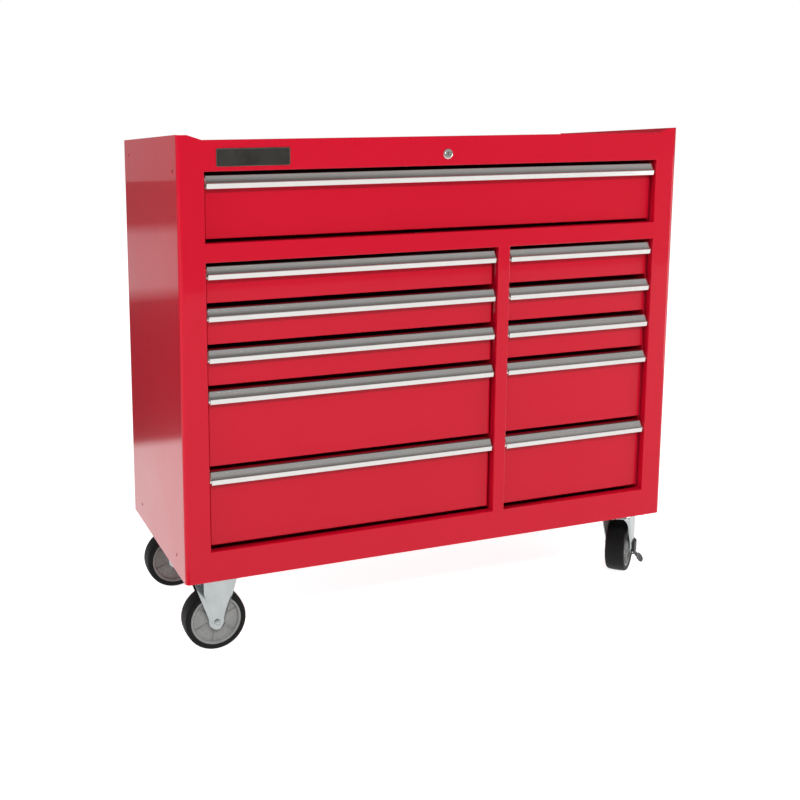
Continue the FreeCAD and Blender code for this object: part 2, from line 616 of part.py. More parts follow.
def casters():
    fasteners, rigid, plates = [], [], []
    for name, x, y, trail_angle in caster_places():
        swivels = trail_angle is not None
        angle, axle_x = (trail_angle, "trail") if swivels else (0, "0")
        piece(f"{name}_wheel_core", seat(upright_wheel(wheel_core(), axle_x), x, y, angle))
        piece(f"{name}_wheel_tyre", seat(upright_wheel(wheel_tyre(), axle_x), x, y, angle))
        if swivels:
            plates.append(seat(swivel_plate(), x, y))
            piece(f"{name}_fork", seat(swivel_fork(), x, y, angle))
            piece(f"{name}_brake_pedal", seat(brake_pedal(), x, y, angle))
        else:
            rigid.append(seat(rigid_fork(), x, y))
            outside = "leg_gap / 2 + leg_thick"
            bolt = fuse(axle("0", f"-({outside}) - 2", f"{outside} + 2"),
                        hexagon(("0", f"-({outside}) - nut_height", "wheel_radius"), "nut_height", "y"),
                        hexagon(("0", outside, "wheel_radius"), "nut_height", "y"))
            fasteners.append(seat(bolt, x, y))
        for bolt_x, bolt_y in bolt_places(x, y):
            plate_low = f"{BASE} - plate_thick"
            shank = rod((bolt_x, bolt_y, plate_low), "bolt_radius", "plate_thick + skin + nut_height + 1")
            head = hexagon((bolt_x, bolt_y, f"{plate_low} - nut_height"), "nut_height")
            nut = hexagon((bolt_x, bolt_y, f"{BASE} + skin"), "nut_height")
            fasteners.append(fuse(shank, head, nut))
    piece("rigid_caster_forks", group(*rigid))
    piece("swivel_caster_plates", group(*plates))
    piece("caster_fasteners", group(*fasteners))


case_panels()
front_rails()
slide_supports()
drawers()
lock_and_badge()
casters()
doc.recompute()

failed = [item.Label for item in doc.Objects if {"Invalid", "Error"} & set(item.State)]
failed += [item.Label for item in PIECES if item.Shape.isNull() or not item.Shape.isValid()]
if failed:
    raise SystemExit("failed objects: " + ", ".join(failed))
os.makedirs("parts", exist_ok=True)
for item in PIECES:
    item.Shape.exportStep(f"parts/{item.Label}.step")
    bounds = item.Shape.BoundBox
    print(f"{item.Label:26s} {len(item.Shape.Solids):3d} solids  {item.Shape.Volume / 1000:9.1f} cm3  "
          f"x {bounds.XMin:8.2f} {bounds.XMax:8.2f}  y {bounds.YMin:8.2f} {bounds.YMax:8.2f}  "
          f"z {bounds.ZMin:8.2f} {bounds.ZMax:8.2f}")
whole = Part.makeCompound([item.Shape for item in PIECES]).BoundBox
print("whole", len(PIECES), "pieces", whole)
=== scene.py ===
import math

import bmesh
import bpy
from mathutils import Matrix, Vector


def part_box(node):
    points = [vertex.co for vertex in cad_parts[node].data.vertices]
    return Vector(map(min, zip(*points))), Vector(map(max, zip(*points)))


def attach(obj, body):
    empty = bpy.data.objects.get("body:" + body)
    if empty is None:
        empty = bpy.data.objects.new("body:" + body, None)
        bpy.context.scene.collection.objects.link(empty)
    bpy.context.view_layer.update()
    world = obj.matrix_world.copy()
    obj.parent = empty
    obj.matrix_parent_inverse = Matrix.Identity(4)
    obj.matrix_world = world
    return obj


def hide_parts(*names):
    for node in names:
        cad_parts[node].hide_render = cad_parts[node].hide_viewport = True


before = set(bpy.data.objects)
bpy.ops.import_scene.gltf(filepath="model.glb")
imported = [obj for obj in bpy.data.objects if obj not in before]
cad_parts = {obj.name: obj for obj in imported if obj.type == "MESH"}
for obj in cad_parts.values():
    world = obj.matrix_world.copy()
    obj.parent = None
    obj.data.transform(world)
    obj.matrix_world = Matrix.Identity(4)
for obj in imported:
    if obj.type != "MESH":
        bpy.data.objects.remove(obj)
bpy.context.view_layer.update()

MM = 0.001


def box_mm(node):
    """A node's lowest and highest corner in millimetres."""
    low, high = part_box(node)
    return [v / MM for v in low], [v / MM for v in high]


# ---------------- driving sizes (millimetres)
SKIN = 1.2  # case sheet
EAR, EAR_FLAT, EAR_RUN = 9, 19, 27  # ear at each front corner: height, level part, slope
SIDE_FALL, CAP_FALL = 39, 2.2  # how far the sides and the header's cap fall to the back
CORNER, BACK_FLANGE = 14, 16  # radius of the front corners, flange at the back
HEADER, TOP_OPENING, MID_RAIL = 57.3, 130.7, 35.7
BASE_RAIL, LIP_DEPTH = 60, 17.5
DIVIDER_START, DIVIDER_WIDTH = 116.5, 26
LOCK_FALL = 34.7  # lock's centre below the header's top edge
WHEEL = 61.5

# ---------------- places, all from the CAD boxes
side_low, side_high = box_mm("side_panel_left")
WEST, FRONT, BASE = side_low
OPEN_LEFT, BACK = side_high[0], side_high[1]
TOP = side_high[2] - EAR
right_low, right_high = box_mm("side_panel_right")
OPEN_RIGHT, EAST = right_low[0], right_high[0]
HEADER_BACK = box_mm("front_rails")[1][1]
LIP = FRONT + LIP_DEPTH
tray_low, tray_high = box_mm("top_tray")
TRAY = tray_low[2]
HEADER_LOW = TOP - HEADER
MID_HIGH = HEADER_LOW - TOP_OPENING
COLUMN_TOP = MID_HIGH - MID_RAIL
COLUMN_BASE = BASE + BASE_RAIL
MIDDLE, DEPTH_MIDDLE = (WEST + EAST) / 2, (FRONT + BACK) / 2
DIVIDER_LEFT = MIDDLE + DIVIDER_START
DIVIDER_RIGHT = DIVIDER_LEFT + DIVIDER_WIDTH
LOCK = (MIDDLE, FRONT, TOP - LOCK_FALL)
rails_low, rails_high = box_mm("slide_cabinet_rails")
SLIDE_FRONT, SLIDE_BACK = rails_low[1], rails_high[1]
DRAWERS = ["top"] + [f"{side}_{n}" for side in ("left", "right") for n in range(1, 6)]
CASTERS = {"rigid_front": 0, "rigid_rear": 0, "swivel_front": 45, "swivel_rear": 180}


# ---------------- materials
def new_material(name):
    material = bpy.data.materials.new(name)
    material.use_nodes = True
    tree = material.node_tree
    shader = tree.nodes["Principled BSDF"]
    return material, tree, shader


def node(tree, kind, **inputs):
    made = tree.nodes.new(kind)
    for key, value in inputs.items():
        made.inputs[key.replace("_", " ")].default_value = value
    return made


def coordinates(tree, scale=(1, 1, 1)):
    """Object coordinates, stretched."""
    place = tree.nodes.new("ShaderNodeTexCoord")
    mapping = tree.nodes.new("ShaderNodeMapping")
    mapping.inputs["Scale"].default_value = scale
    tree.links.new(place.outputs["Object"], mapping.inputs["Vector"])
    return mapping.outputs["Vector"]


def noise(tree, vector, scale, detail=3.0, rough=0.5):
    made = node(tree, "ShaderNodeTexNoise", Scale=scale, Detail=detail, Roughness=rough)
    tree.links.new(vector, made.inputs["Vector"])
    return made.outputs["Fac"]


def ramp(tree, factor, low, high, start=0.3, end=0.7):
    """A factor turned into a value or colour between low and high."""
    made = tree.nodes.new("ShaderNodeValToRGB")
    for element, place, shade in zip(made.color_ramp.elements, (start, end), (low, high)):
        element.position = place
        element.color = (shade, shade, shade, 1) if isinstance(shade, (int, float)) else (*shade, 1)
    tree.links.new(factor, made.inputs["Fac"])
    return made.outputs["Color"]


def bump(tree, shader, height, strength, distance, under=None):
    """Bump on the shader, over another bump if one is given."""
    made = node(tree, "ShaderNodeBump", Strength=strength, Distance=distance)
    tree.links.new(height, made.inputs["Height"])
    if under is not None:
        tree.links.new(under, made.inputs["Normal"])
    tree.links.new(made.outputs["Normal"], shader.inputs["Normal"])
    return made.outputs["Normal"]


def paint(name, dark, light, roughness):
    """Powder coat: slight colour drift, sheet waviness, fine orange peel and a thin clear coat."""
    material, tree, shader = new_material(name)
    at = coordinates(tree)
    tree.links.new(ramp(tree, noise(tree, at, 2.0, 2.0), dark, light), shader.inputs["Base Color"])
    tree.links.new(ramp(tree, noise(tree, at, 6.0, 3.0), *roughness), shader.inputs["Roughness"])
    shader.inputs["Coat Weight"].default_value = 1.0
    shader.inputs["Coat Roughness"].default_value = 0.04
    shader.inputs["Coat IOR"].default_value = 1.3
    shader.inputs["Specular IOR Level"].default_value = 0.1
    wavy = bump(tree, shader, noise(tree, at, 6.0, 1.0), 0.8, 0.0016)
    bump(tree, shader, noise(tree, at, 900.0, 2.0), 0.07, 0.0001, wavy)
    return material


def metal(name, dark, light, roughness, stretch=(1, 1, 1), grain=600.0, strength=0.15, metallic=1.0):
    """Bare or plated metal with a slight tint drift, and grain drawn out where stretch is small."""
    material, tree, shader = new_material(name)
    shader.inputs["Metallic"].default_value = metallic
    tint = noise(tree, coordinates(tree), 25.0, 4.0)
    tree.links.new(ramp(tree, tint, dark, light), shader.inputs["Base Color"])
    lines = noise(tree, coordinates(tree, stretch), grain, 3.0, 0.6)
    tree.links.new(ramp(tree, lines, *roughness), shader.inputs["Roughness"])
    bump(tree, shader, lines, strength, 0.0001)
    return material


def plastic(name, dark, light, roughness, grain, depth, scale=20.0):
    """Moulded plastic or rubber with a fine grain."""
    material, tree, shader = new_material(name)
    at = coordinates(tree)
    tree.links.new(ramp(tree, noise(tree, at, scale, 4.0), dark, light), shader.inputs["Base Color"])
    tree.links.new(ramp(tree, noise(tree, at, scale * 6, 3.0), *roughness), shader.inputs["Roughness"])
    bump(tree, shader, noise(tree, at, grain, 2.0), 0.3, depth)
    return material


def ribbed_rubber(name):
    """Drawer liner: black rubber with small raised ribs running across the drawer."""
    material, tree, shader = new_material(name)
    at = coordinates(tree)
    wave = node(tree, "ShaderNodeTexWave", Scale=95.0, Distortion=0.2, Detail=1.0)
    tree.links.new(at, wave.inputs["Vector"])
    tint = ramp(tree, noise(tree, at, 60.0, 4.0), (0.012, 0.012, 0.013), (0.03, 0.03, 0.032))
    tree.links.new(tint, shader.inputs["Base Color"])
    tree.links.new(ramp(tree, wave.outputs["Fac"], 0.55, 0.8), shader.inputs["Roughness"])
    bump(tree, shader, wave.outputs["Fac"], 0.5, 0.0006)
    return material


RED = paint("red_paint_coat", (0.60, 0.0025, 0.021), (0.63, 0.0035, 0.024), (0.30, 0.36))
ALUMINIUM = metal("brushed_aluminium", (0.84, 0.825, 0.80), (0.88, 0.865, 0.84), (0.14, 0.20),
                  stretch=(0.02, 1, 1), grain=900.0, strength=0.04, metallic=0.92)
ZINC = metal("zinc_plate", (0.52, 0.55, 0.55), (0.60, 0.63, 0.63), (0.16, 0.26), strength=0.05)
SLIDE = metal("zinc_slide_steel", (0.55, 0.57, 0.60), (0.68, 0.70, 0.73), (0.22, 0.38),
              stretch=(1, 0.03, 1), grain=700.0)
CHROME = metal("chrome_plate", (0.82, 0.80, 0.76), (0.90, 0.88, 0.84), (0.06, 0.14), strength=0.04)
BALL = metal("ball_steel", (0.75, 0.76, 0.78), (0.85, 0.86, 0.88), (0.08, 0.15), strength=0.02)
GREY = plastic("grey_nylon", (0.27, 0.275, 0.27), (0.32, 0.325, 0.315), (0.22, 0.32), 500.0, 0.00005)
TYRE = plastic("black_rubber", (0.004, 0.004, 0.0042), (0.008, 0.008, 0.0082), (0.5, 0.66), 350.0, 0.0002,
               scale=45.0)
TYRE.node_tree.nodes["Principled BSDF"].inputs["Specular IOR Level"].default_value = 0.25
PEDAL = plastic("dark_pedal_coat", (0.085, 0.085, 0.088), (0.125, 0.125, 0.128), (0.3, 0.45), 420.0,
                0.00015)
HOUSING = plastic("black_housing", (0.010, 0.010, 0.011), (0.022, 0.022, 0.024), (0.35, 0.5), 420.0,
                  0.00015)
BADGE = plastic("dark_badge", (0.018, 0.017, 0.014), (0.036, 0.034, 0.029), (0.26, 0.38), 800.0, 0.00006)
BORDER = metal("badge_border", (0.14, 0.13, 0.11), (0.24, 0.22, 0.19), (0.25, 0.4), strength=0.05)
LINER = ribbed_rubber("ribbed_liner")


# ---------------- outlines and sections (millimetres)
def rectangle(low, high, radius=0):
    """Outline from one corner to the opposite one, with rounded corners."""
    return [(low[0], low[1], radius), (high[0], low[1], radius), (high[0], high[1], radius),
            (low[0], high[1], radius)]


def round_bar(radius, start, end):
    """Half section of a plain round bar."""
    return [(0, start), (radius, start), (radius, end), (0, end)]


def washer(radius, bulge, way):
    """Half section of a washer that lies on height 0 and rises the given way."""
    return [(0, 0), (radius, 0), (radius + bulge, way * 0.5), (radius, way * 1.1), (0, way * 1.1)]


def mirrored(half):
    """Half section on both sides of height 0."""
    return half + [(radius, -height) for radius, height in reversed(half)]


def rounded(points, closed=True, steps=4):
    """Points (a, b) or (a, b, radius) with each corner of a radius turned into an arc."""
    out = []
    count = len(points)
    for index, point in enumerate(points):
        radius = point[2] if len(point) > 2 else 0
        here = Vector(point[:2])
        if radius <= 0 or (not closed and index in (0, count - 1)):
            out.append(here)
            continue
        before = Vector(points[index - 1][:2]) - here
        after = Vector(points[(index + 1) % count][:2]) - here
        half = before.angle(after) / 2
        if half > math.pi / 2 - 0.02:
            out.append(here)
            continue
        reach = min(radius / math.tan(half), before.length * 0.49, after.length * 0.49)
        radius = reach * math.tan(half)
        start, end = here + before.normalized() * reach, here + after.normalized() * reach
        centre = here + (before.normalized() + after.normalized()).normalized() * (radius / math.sin(half))
        for step in range(steps + 1):
            arm = (start - centre).lerp(end - centre, step / steps).normalized() * radius
            if step in (0, steps):
                arm = (start, end)[step > 0] - centre
            out.append(centre + arm)
    return out


def offset(path, distance):
    """The same open path moved to its left by a distance."""
    out = []
    for index, point in enumerate(path):
        sides = []
        if index:
            sides.append((point - path[index - 1]).normalized())
        if index < len(path) - 1:
            sides.append((path[index + 1] - point).normalized())
        normals = [Vector((-side.y, side.x)) for side in sides]
        normal = sum(normals, Vector((0, 0))).normalized()
        out.append(point + normal * distance / max(0.3, normal.dot(normals[0])))
    return out


# ---------------- mesh tools (millimetres)
ALONG = {"x": lambda a, b, s: (s, a, b), "y": lambda a, b, s: (a, s, b), "z": lambda a, b, s: (a, b, s)}
UPRIGHT = {"z": lambda p: p, "y": lambda p: (p[0], p[2], -p[1]), "x": lambda p: (p[2], p[1], -p[0])}


def join_rings(bm, one, two):
    """Faces between two rings of vertices, either of which may be a single point."""
    count = max(len(one), len(two))
    for k in range(count):
        after = (k + 1) % count
        corners = [one[k % len(one)], one[after % len(one)], two[after % len(two)], two[k % len(two)]]
        distinct = [v for i, v in enumerate(corners) if v not in corners[:i]]
        if len(distinct) > 2:
            bm.faces.new(distinct)


def add_strip(bm, points, thickness, axis, start, end):
    """Folded sheet: a path with rounded bends, thickened to its left and drawn out along an axis."""
    path = rounded(points, closed=False)
    inner = offset(path, thickness)
    rings = []
    for outer_point, inner_point in zip(path, inner):
        corners = ((outer_point, start), (outer_point, end), (inner_point, end), (inner_point, start))
        rings.append([bm.verts.new(ALONG[axis](*p, s)) for p, s in corners])
    for one, two in zip(rings, rings[1:]):
        join_rings(bm, one, two)
    bm.faces.new(reversed(rings[0]))
    bm.faces.new(rings[-1])


def add_bar(bm, points, axis, start, end, steps=4):
    """A closed outline with rounded corners drawn out along an axis."""
    outline = rounded(points, steps=steps)
    one = [bm.verts.new(ALONG[axis](*p, start)) for p in outline]
    two = [bm.verts.new(ALONG[axis](*p, end)) for p in outline]
    join_rings(bm, one, two)
    bm.faces.new(reversed(one))
    bm.faces.new(two)


def add_block(bm, low, high):
    add_bar(bm, rectangle(low, high), "z", low[2], high[2])


def add_turned(bm, section, segments=64, centre=(0, 0, 0), axis="y", closed=True):
    """A half section of (radius, height) turned about an axis; radius 0 at both ends closes it."""
    turns = [2 * math.pi * k / segments for k in range(segments)]
    made = []
    for radius, height in section:
        ring = [(radius * math.cos(turn), radius * math.sin(turn), height) for turn in turns]
        if radius <= 1e-6:
            ring = [(0, 0, height)]
        made.append([bm.verts.new(Vector(UPRIGHT[axis](p)) + Vector(centre)) for p in ring])
    for one, two in list(zip(made, made[1:])) + ([(made[-1], made[0])] if closed else []):
        join_rings(bm, one, two)


def add_hexagon(bm, across, height, bore, centre, axis="z", up=1):
    """A nut, or a bolt head without bore, with chamfered corners, that rises from centre."""
    count = 36
    radius, edge = across / math.sqrt(3), across / 2 * 0.96
    levels = [(bore, 0, "round"), (edge, 0, "round"), (radius, height * 0.14, "hex"),
              (radius, height * 0.86, "hex"), (edge, height, "round"), (bore, height, "round")]
    if bore <= 0:
        levels = levels[1:-1]
    made = []
    for level_radius, at, shape in levels:
        ring = []
        for k in range(count):
            angle = 2 * math.pi * k / count
            reach = level_radius
            if shape == "hex":
                local = (angle + math.pi / 6) % (math.pi / 3) - math.pi / 6
                reach = min(across / 2 / math.cos(local), level_radius)
            point = (reach * math.cos(angle), reach * math.sin(angle), at * up)
            ring.append(bm.verts.new(Vector(UPRIGHT[axis](point)) + Vector(centre)))
        made.append(ring)
    for one, two in list(zip(made, made[1:])) + ([(made[-1], made[0])] if bore > 0 else []):
        join_rings(bm, one, two)
    if bore <= 0:
        bm.faces.new(reversed(made[0]))
        bm.faces.new(made[-1])


def add_ball(bm, centre, radius):
    ball = bmesh.ops.create_icosphere(bm, subdivisions=1, radius=radius)
    bmesh.ops.translate(bm, verts=ball["verts"], vec=centre)


def turn_about(bm, degrees, axis):
    """Turn everything in bm about an axis through its origin."""
    matrix = Matrix.Rotation(math.radians(degrees), 3, axis)
    bmesh.ops.rotate(bm, verts=bm.verts, cent=(0, 0, 0), matrix=matrix)


def shift(bm, centre, angle=0):
    """Turn everything in bm about Z, then move it."""
    turn_about(bm, angle, "Z")
    bmesh.ops.translate(bm, verts=bm.verts, vec=centre)


def join(into, part):
    """Move one bmesh's geometry into another."""
    mesh = bpy.data.meshes.new("joined")
    part.to_mesh(mesh)
    into.from_mesh(mesh)
    part.free()
    bpy.data.meshes.remove(mesh)


def add_bevel(item, width, segments, sharp):
    """Ease the edges that are sharper than an angle."""
    edge = item.modifiers.new("edges", "BEVEL")
    edge.width = width * MM
    edge.segments = segments
    edge.limit_method = "ANGLE"
    edge.angle_limit = math.radians(sharp)


def to_object(name, bm):
    """A new object in the scene from a bmesh in millimetres."""
    bmesh.ops.scale(bm, verts=bm.verts, vec=(MM, MM, MM))
    mesh = bpy.data.meshes.new(name)
    bm.to_mesh(mesh)
    bm.free()
    item = bpy.data.objects.new(name, mesh)
    bpy.context.collection.objects.link(item)
    return item, mesh


def finish_piece(name, bm, material, body, replaces=(), bevel=0.0, sheet=0.0, sharp=38, recalc=True,
                 segments=2, even=True):
    """Make the object, give it its finish and its body, and stand it for its CAD nodes."""
    if recalc:
        bmesh.ops.recalc_face_normals(bm, faces=bm.faces)
    piece, mesh = to_object(name, bm)
    mesh.materials.append(material)
    mesh.polygons.foreach_set("use_smooth", [True] * len(mesh.polygons))
    mesh.set_sharp_from_angle(angle=math.radians(sharp))
    if sheet:
        solid = piece.modifiers.new("sheet", "SOLIDIFY")
        solid.thickness = sheet * MM
        solid.offset = -1
        solid.use_even_offset = even
    if bevel:
        add_bevel(piece, bevel, segments, sharp)
    weighted = piece.modifiers.new("normals", "WEIGHTED_NORMAL")
    weighted.keep_sharp = True
    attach(piece, body)
    if replaces:
        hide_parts(*replaces)
    return piece


def carve(piece, cutter_bm):
    """Cut a closed shape out of a piece and keep the result as its mesh."""
    bmesh.ops.recalc_face_normals(cutter_bm, faces=cutter_bm.faces)
    cutter, mesh = to_object("cutter", cutter_bm)
    boolean = piece.modifiers.new("cut", "BOOLEAN")
    boolean.operation = "DIFFERENCE"
    boolean.solver = "EXACT"
    boolean.object = cutter
    order = [m.name for m in piece.modifiers]
    piece.modifiers.move(len(order) - 1, order.index("normals"))
    weighted = piece.modifiers["normals"]
    weighted.show_viewport = False
    bpy.context.view_layer.update()
    evaluated = piece.evaluated_get(bpy.context.evaluated_depsgraph_get())
    result = bpy.data.meshes.new_from_object(evaluated)
    for modifier in list(piece.modifiers):
        if modifier.name != "normals":
            piece.modifiers.remove(modifier)
    weighted.show_viewport = True
    old, piece.data = piece.data, result
    bpy.data.meshes.remove(old)
    bpy.data.objects.remove(cutter)
    bpy.data.meshes.remove(mesh)


def open_pan(name, low, high, side, thickness, radius, body, replaces=()):
    """A pressed box of painted sheet, open on one side, with rounded folds."""
    bm = bmesh.new()
    made = bmesh.ops.create_cube(bm, size=1)
    for v in made["verts"]:
        v.co = Vector([low[i] if v.co[i] < 0 else high[i] for i in range(3)])
    bm.normal_update()
    way = {"+z": Vector((0, 0, 1)), "+y": Vector((0, 1, 0))}[side]
    bmesh.ops.delete(bm, geom=[f for f in bm.faces if f.normal.dot(way) > 0.9], context="FACES_ONLY")
    folds = [e for e in bm.edges if len(e.link_faces) == 2]
    bmesh.ops.bevel(bm, geom=folds, offset=radius, segments=4, profile=0.5, affect="EDGES",
                    clamp_overlap=True)
    bm.normal_update()
    finish_piece(name, bm, RED, body, replaces, sheet=thickness, recalc=False)


# ---------------- case
SIDE_HOLES = ((189.5, TOP - 58), (153, BASE + 37))  # half the spacing of each pair, and its height
HOLE, HOLES_FORWARD, LOCK_HOLE = 3.5, 5, 9.1
FOLD = 1.6  # radius of the openings' and the cap's folds
TOUCH = 0.1  # slack in finding vertices by place


def shell_top(x, y):
    """Height of the sheet's upper edge: ears at the front corners, sides falling to the back."""
    inset = min(x - WEST, EAST - x)
    if y > FRONT + CORNER:
        return TOP + EAR - SIDE_FALL * (y - FRONT - CORNER) / (BACK - FRONT - CORNER)
    if inset <= EAR_FLAT:
        return TOP + EAR
    return TOP + EAR * max(0.0, 1 - (inset - EAR_FLAT) / EAR_RUN)


def shell_plan():
    """The case's outline from above, from the left back round the front to the right back."""
    ear_end = EAR_FLAT + EAR_RUN
    corner_path = rounded([(WEST + BACK_FLANGE, BACK), (WEST, BACK, 2), (WEST, FRONT, CORNER),
                           (WEST + EAR_FLAT, FRONT)], closed=False, steps=10)
    left = [(p.x, p.y) for p in corner_path]
    middle = [(x, FRONT) for x in (WEST + ear_end, OPEN_LEFT, DIVIDER_LEFT, DIVIDER_RIGHT, OPEN_RIGHT,
                                   EAST - ear_end)]
    return left + middle + [(WEST + EAST - x, y) for x, y in reversed(left)]


def face_front(bm):
    """Turn all the faces over if the largest one of the front looks backward."""
    bm.normal_update()
    fronts = [f for f in bm.faces if abs(f.normal.y) > 0.9 and abs(f.calc_center_median().y - FRONT) < 1]
    if max(fronts, key=lambda f: f.calc_area()).normal.y > 0:
        bmesh.ops.reverse_faces(bm, faces=bm.faces)


def pull_out(bm, edges, vector):
    """Extrude edges and return the new ones."""
    made = bmesh.ops.extrude_edge_only(bm, edges=edges)
    verts = [v for v in made["geom"] if isinstance(v, bmesh.types.BMVert)]
    bmesh.ops.translate(bm, verts=verts, vec=vector)
    edges = [e for e in made["geom"] if isinstance(e, bmesh.types.BMEdge)]
    return [e for e in edges if all(v in verts for v in e.verts)]


def fold_in(bm):
    """Turn in the sheet round the openings, and the header's cap down to the tray."""
    def bounds_an_opening(edge):
        return all(OPEN_LEFT - TOUCH < v.co.x < OPEN_RIGHT + TOUCH and
                   COLUMN_BASE - TOUCH < v.co.z < HEADER_LOW + TOUCH for v in edge.verts)

    front = [e for e in bm.edges if e.is_boundary and all(abs(v.co.y - FRONT) < TOUCH for v in e.verts)]
    lips = [e for e in front if bounds_an_opening(e)]
    cap = [e for e in front if all(abs(v.co.z - TOP) < TOUCH for v in e.verts)]
    pull_out(bm, lips, (0, LIP_DEPTH, 0))
    back = pull_out(bm, cap, (0, HEADER_BACK - FRONT, -CAP_FALL))
    pull_out(bm, back, (0, 0, TRAY - TOP + CAP_FALL))
    bm.normal_update()
    folds = [e for e in set(lips + cap + back) if e.is_valid and len(e.link_faces) == 2]
    bmesh.ops.bevel(bm, geom=folds, offset=FOLD, segments=3, profile=0.5, affect="EDGES",
                    clamp_overlap=True)


def case_shell():
    """Sides, rounded corners and the whole front frame as one folded sheet with turned-in openings."""
    plan = shell_plan()
    levels = [BASE, COLUMN_BASE, COLUMN_TOP, MID_HIGH, HEADER_LOW]
    bm = bmesh.new()
    columns = [[bm.verts.new((x, y, z)) for z in levels + [shell_top(x, y)]] for x, y in plan]
    for (x0, y0), (x1, y1), one, two in zip(plan, plan[1:], columns, columns[1:]):
        centre = (x0 + x1) / 2
        opening = set()
        if y0 == y1 == FRONT and OPEN_LEFT < centre < OPEN_RIGHT:
            opening = {3} if DIVIDER_LEFT < centre < DIVIDER_RIGHT else {1, 3}
        for row in range(5):
            if row not in opening:
                bm.faces.new((one[row], two[row], two[row + 1], one[row + 1]))
    face_front(bm)
    fold_in(bm)
    bmesh.ops.recalc_face_normals(bm, faces=bm.faces)
    face_front(bm)
    shell = finish_piece("case_shell", bm, RED, "case",
                         ("side_panel_left", "side_panel_right", "front_rails"), sheet=SKIN, recalc=False)
    cutter = bmesh.new()
    for half, height in SIDE_HOLES:
        for way in (-1, 1):
            for x in (WEST, EAST):
                place = (x, DEPTH_MIDDLE - HOLES_FORWARD + way * half, height)
                add_turned(cutter, round_bar(HOLE, -4, 4), 24, place, "x", closed=False)
    add_turned(cutter, round_bar(LOCK_HOLE, -4, 4), 40, LOCK, "y", closed=False)
    carve(shell, cutter)


def header_tongues():
    """Ends of the header's cap, behind the ears."""
    bm = bmesh.new()
    path = [(FRONT + SKIN + 0.4, TOP), (HEADER_BACK, TOP - CAP_FALL, FOLD), (HEADER_BACK, TRAY)]
    for start, end in ((OPEN_LEFT - 34, OPEN_LEFT - 4), (OPEN_RIGHT + 4, OPEN_RIGHT + 34)):
        add_strip(bm, path, -SKIN, "x", start, end)
    finish_piece("header_tongues", bm, RED, "case", bevel=0.25)


def back_panel():
    """Back sheet with rows of rivets."""
    low, high = box_mm("back_panel")
    bm = bmesh.new()
    add_bar(bm, rectangle((low[0], low[2]), (high[0], high[2]), 1), "y", low[1], high[1])
    finish_piece("back_sheet", bm, RED, "case", ("back_panel",), bevel=0.3)
    bm = bmesh.new()
    edge_x, edge_z, inner_x, inner_z = 24, 18, 290, 190
    centre = (low[2] + high[2]) / 2
    rivet = [(0, 1.0), (1.6, 0.9), (2.8, 0.45), (3.2, 0), (0, 0)]
    for x in (low[0] + edge_x, low[0] + inner_x, MIDDLE, high[0] - inner_x, high[0] - edge_x):
        for z in (low[2] + edge_z, centre - inner_z, centre + inner_z, high[2] - edge_z):
            add_turned(bm, rivet, 20, (x, high[1] + 0.05, z), "y", closed=False)
    finish_piece("back_rivets", bm, ZINC, "case")


def inner_supports():
    """Divider channel, and the four uprights behind the posts."""
    bm = bmesh.new()
    back = DEPTH_MIDDLE + 196
    for x, way in ((DIVIDER_LEFT, 1), (DIVIDER_RIGHT, -1)):
        path = [(x, LIP + 0.2), (x, back - 12, 1.5), (x, back)]
        add_strip(bm, path, -way * SKIN, "z", COLUMN_BASE, COLUMN_TOP)
    for start in (-206, 142):
        near, far = DEPTH_MIDDLE + start, DEPTH_MIDDLE + start + 46
        for wall, post, way in ((WEST + SKIN, OPEN_LEFT, -1), (EAST - SKIN, OPEN_RIGHT, 1)):
            path = [(wall, near), (post, near, 2), (post, far, 2), (wall, far)]
            add_strip(bm, path, way * -SKIN, "z", BASE + 26, TRAY - 1)
    finish_piece("inner_supports", bm, RED, "case", ("slide_supports",), bevel=0.25)


def case_parts():
    """Everything of the case but its shell."""
    header_tongues()
    open_pan("tray_pan", tray_low, tray_high, "+z", SKIN, 3.0, "case", ("top_tray",))
    back_panel()
    low, high = box_mm("bottom_panel")
    open_pan("bottom_pan", (low[0], LIP + 0.6, low[2]), high, "+z", SKIN, 2.0, "case", ("bottom_panel",))
    inner_supports()


# ---------------- drawers
FACE_GAP, SLIDE_ROOM = 4.6, 13  # from the opening's side to the face, and to the tub
FRONT_FOLD, TUB_RISE, TUB_FALL = 12, 4, 10  # front's depth, tub's floor and rim inside the box
SHEET, RIM, RIM_DEPTH = 1.0, 1.7, 1.9
SLIDE_RISE = 31  # slide's middle above the drawer's lower edge
# each member's near and far side from the tub, and half its height
DRAWER_MEMBER, MID_MEMBER, CABINET_MEMBER = (0.05, 6.2, 12.5), (1.8, 8.8, 18), (4, 13, 22.5)
# two rows of balls: distance from the tub, height, radius, the end they start from and their way
BALL_ROWS = ((6.4, 19.65, 1.5, SLIDE_BACK, -1), (4.0, 14.65, 1.9, SLIDE_FRONT, 1))
BALLS, BALL_START, BALL_STEP = 7, 14, 15
CAGE_START, CAGE_END, CAGE_HALF = 8, 110, (1.9, 0.25)
PULL_LEDGE, PULL_NOSE, PULL_LIP, PULL_WALL = 6.6, 2.6, 11, 1.6
HOLLOW = 1.2  # how far the pull's slope sinks at its middle


def tub_sides(name):
    """Where a drawer's tub ends to the left and right, inside its slides."""
    low, high = box_mm(f"drawer_{name}_pull")
    room = SLIDE_ROOM - FACE_GAP
    return low[0] + room, high[0] - room


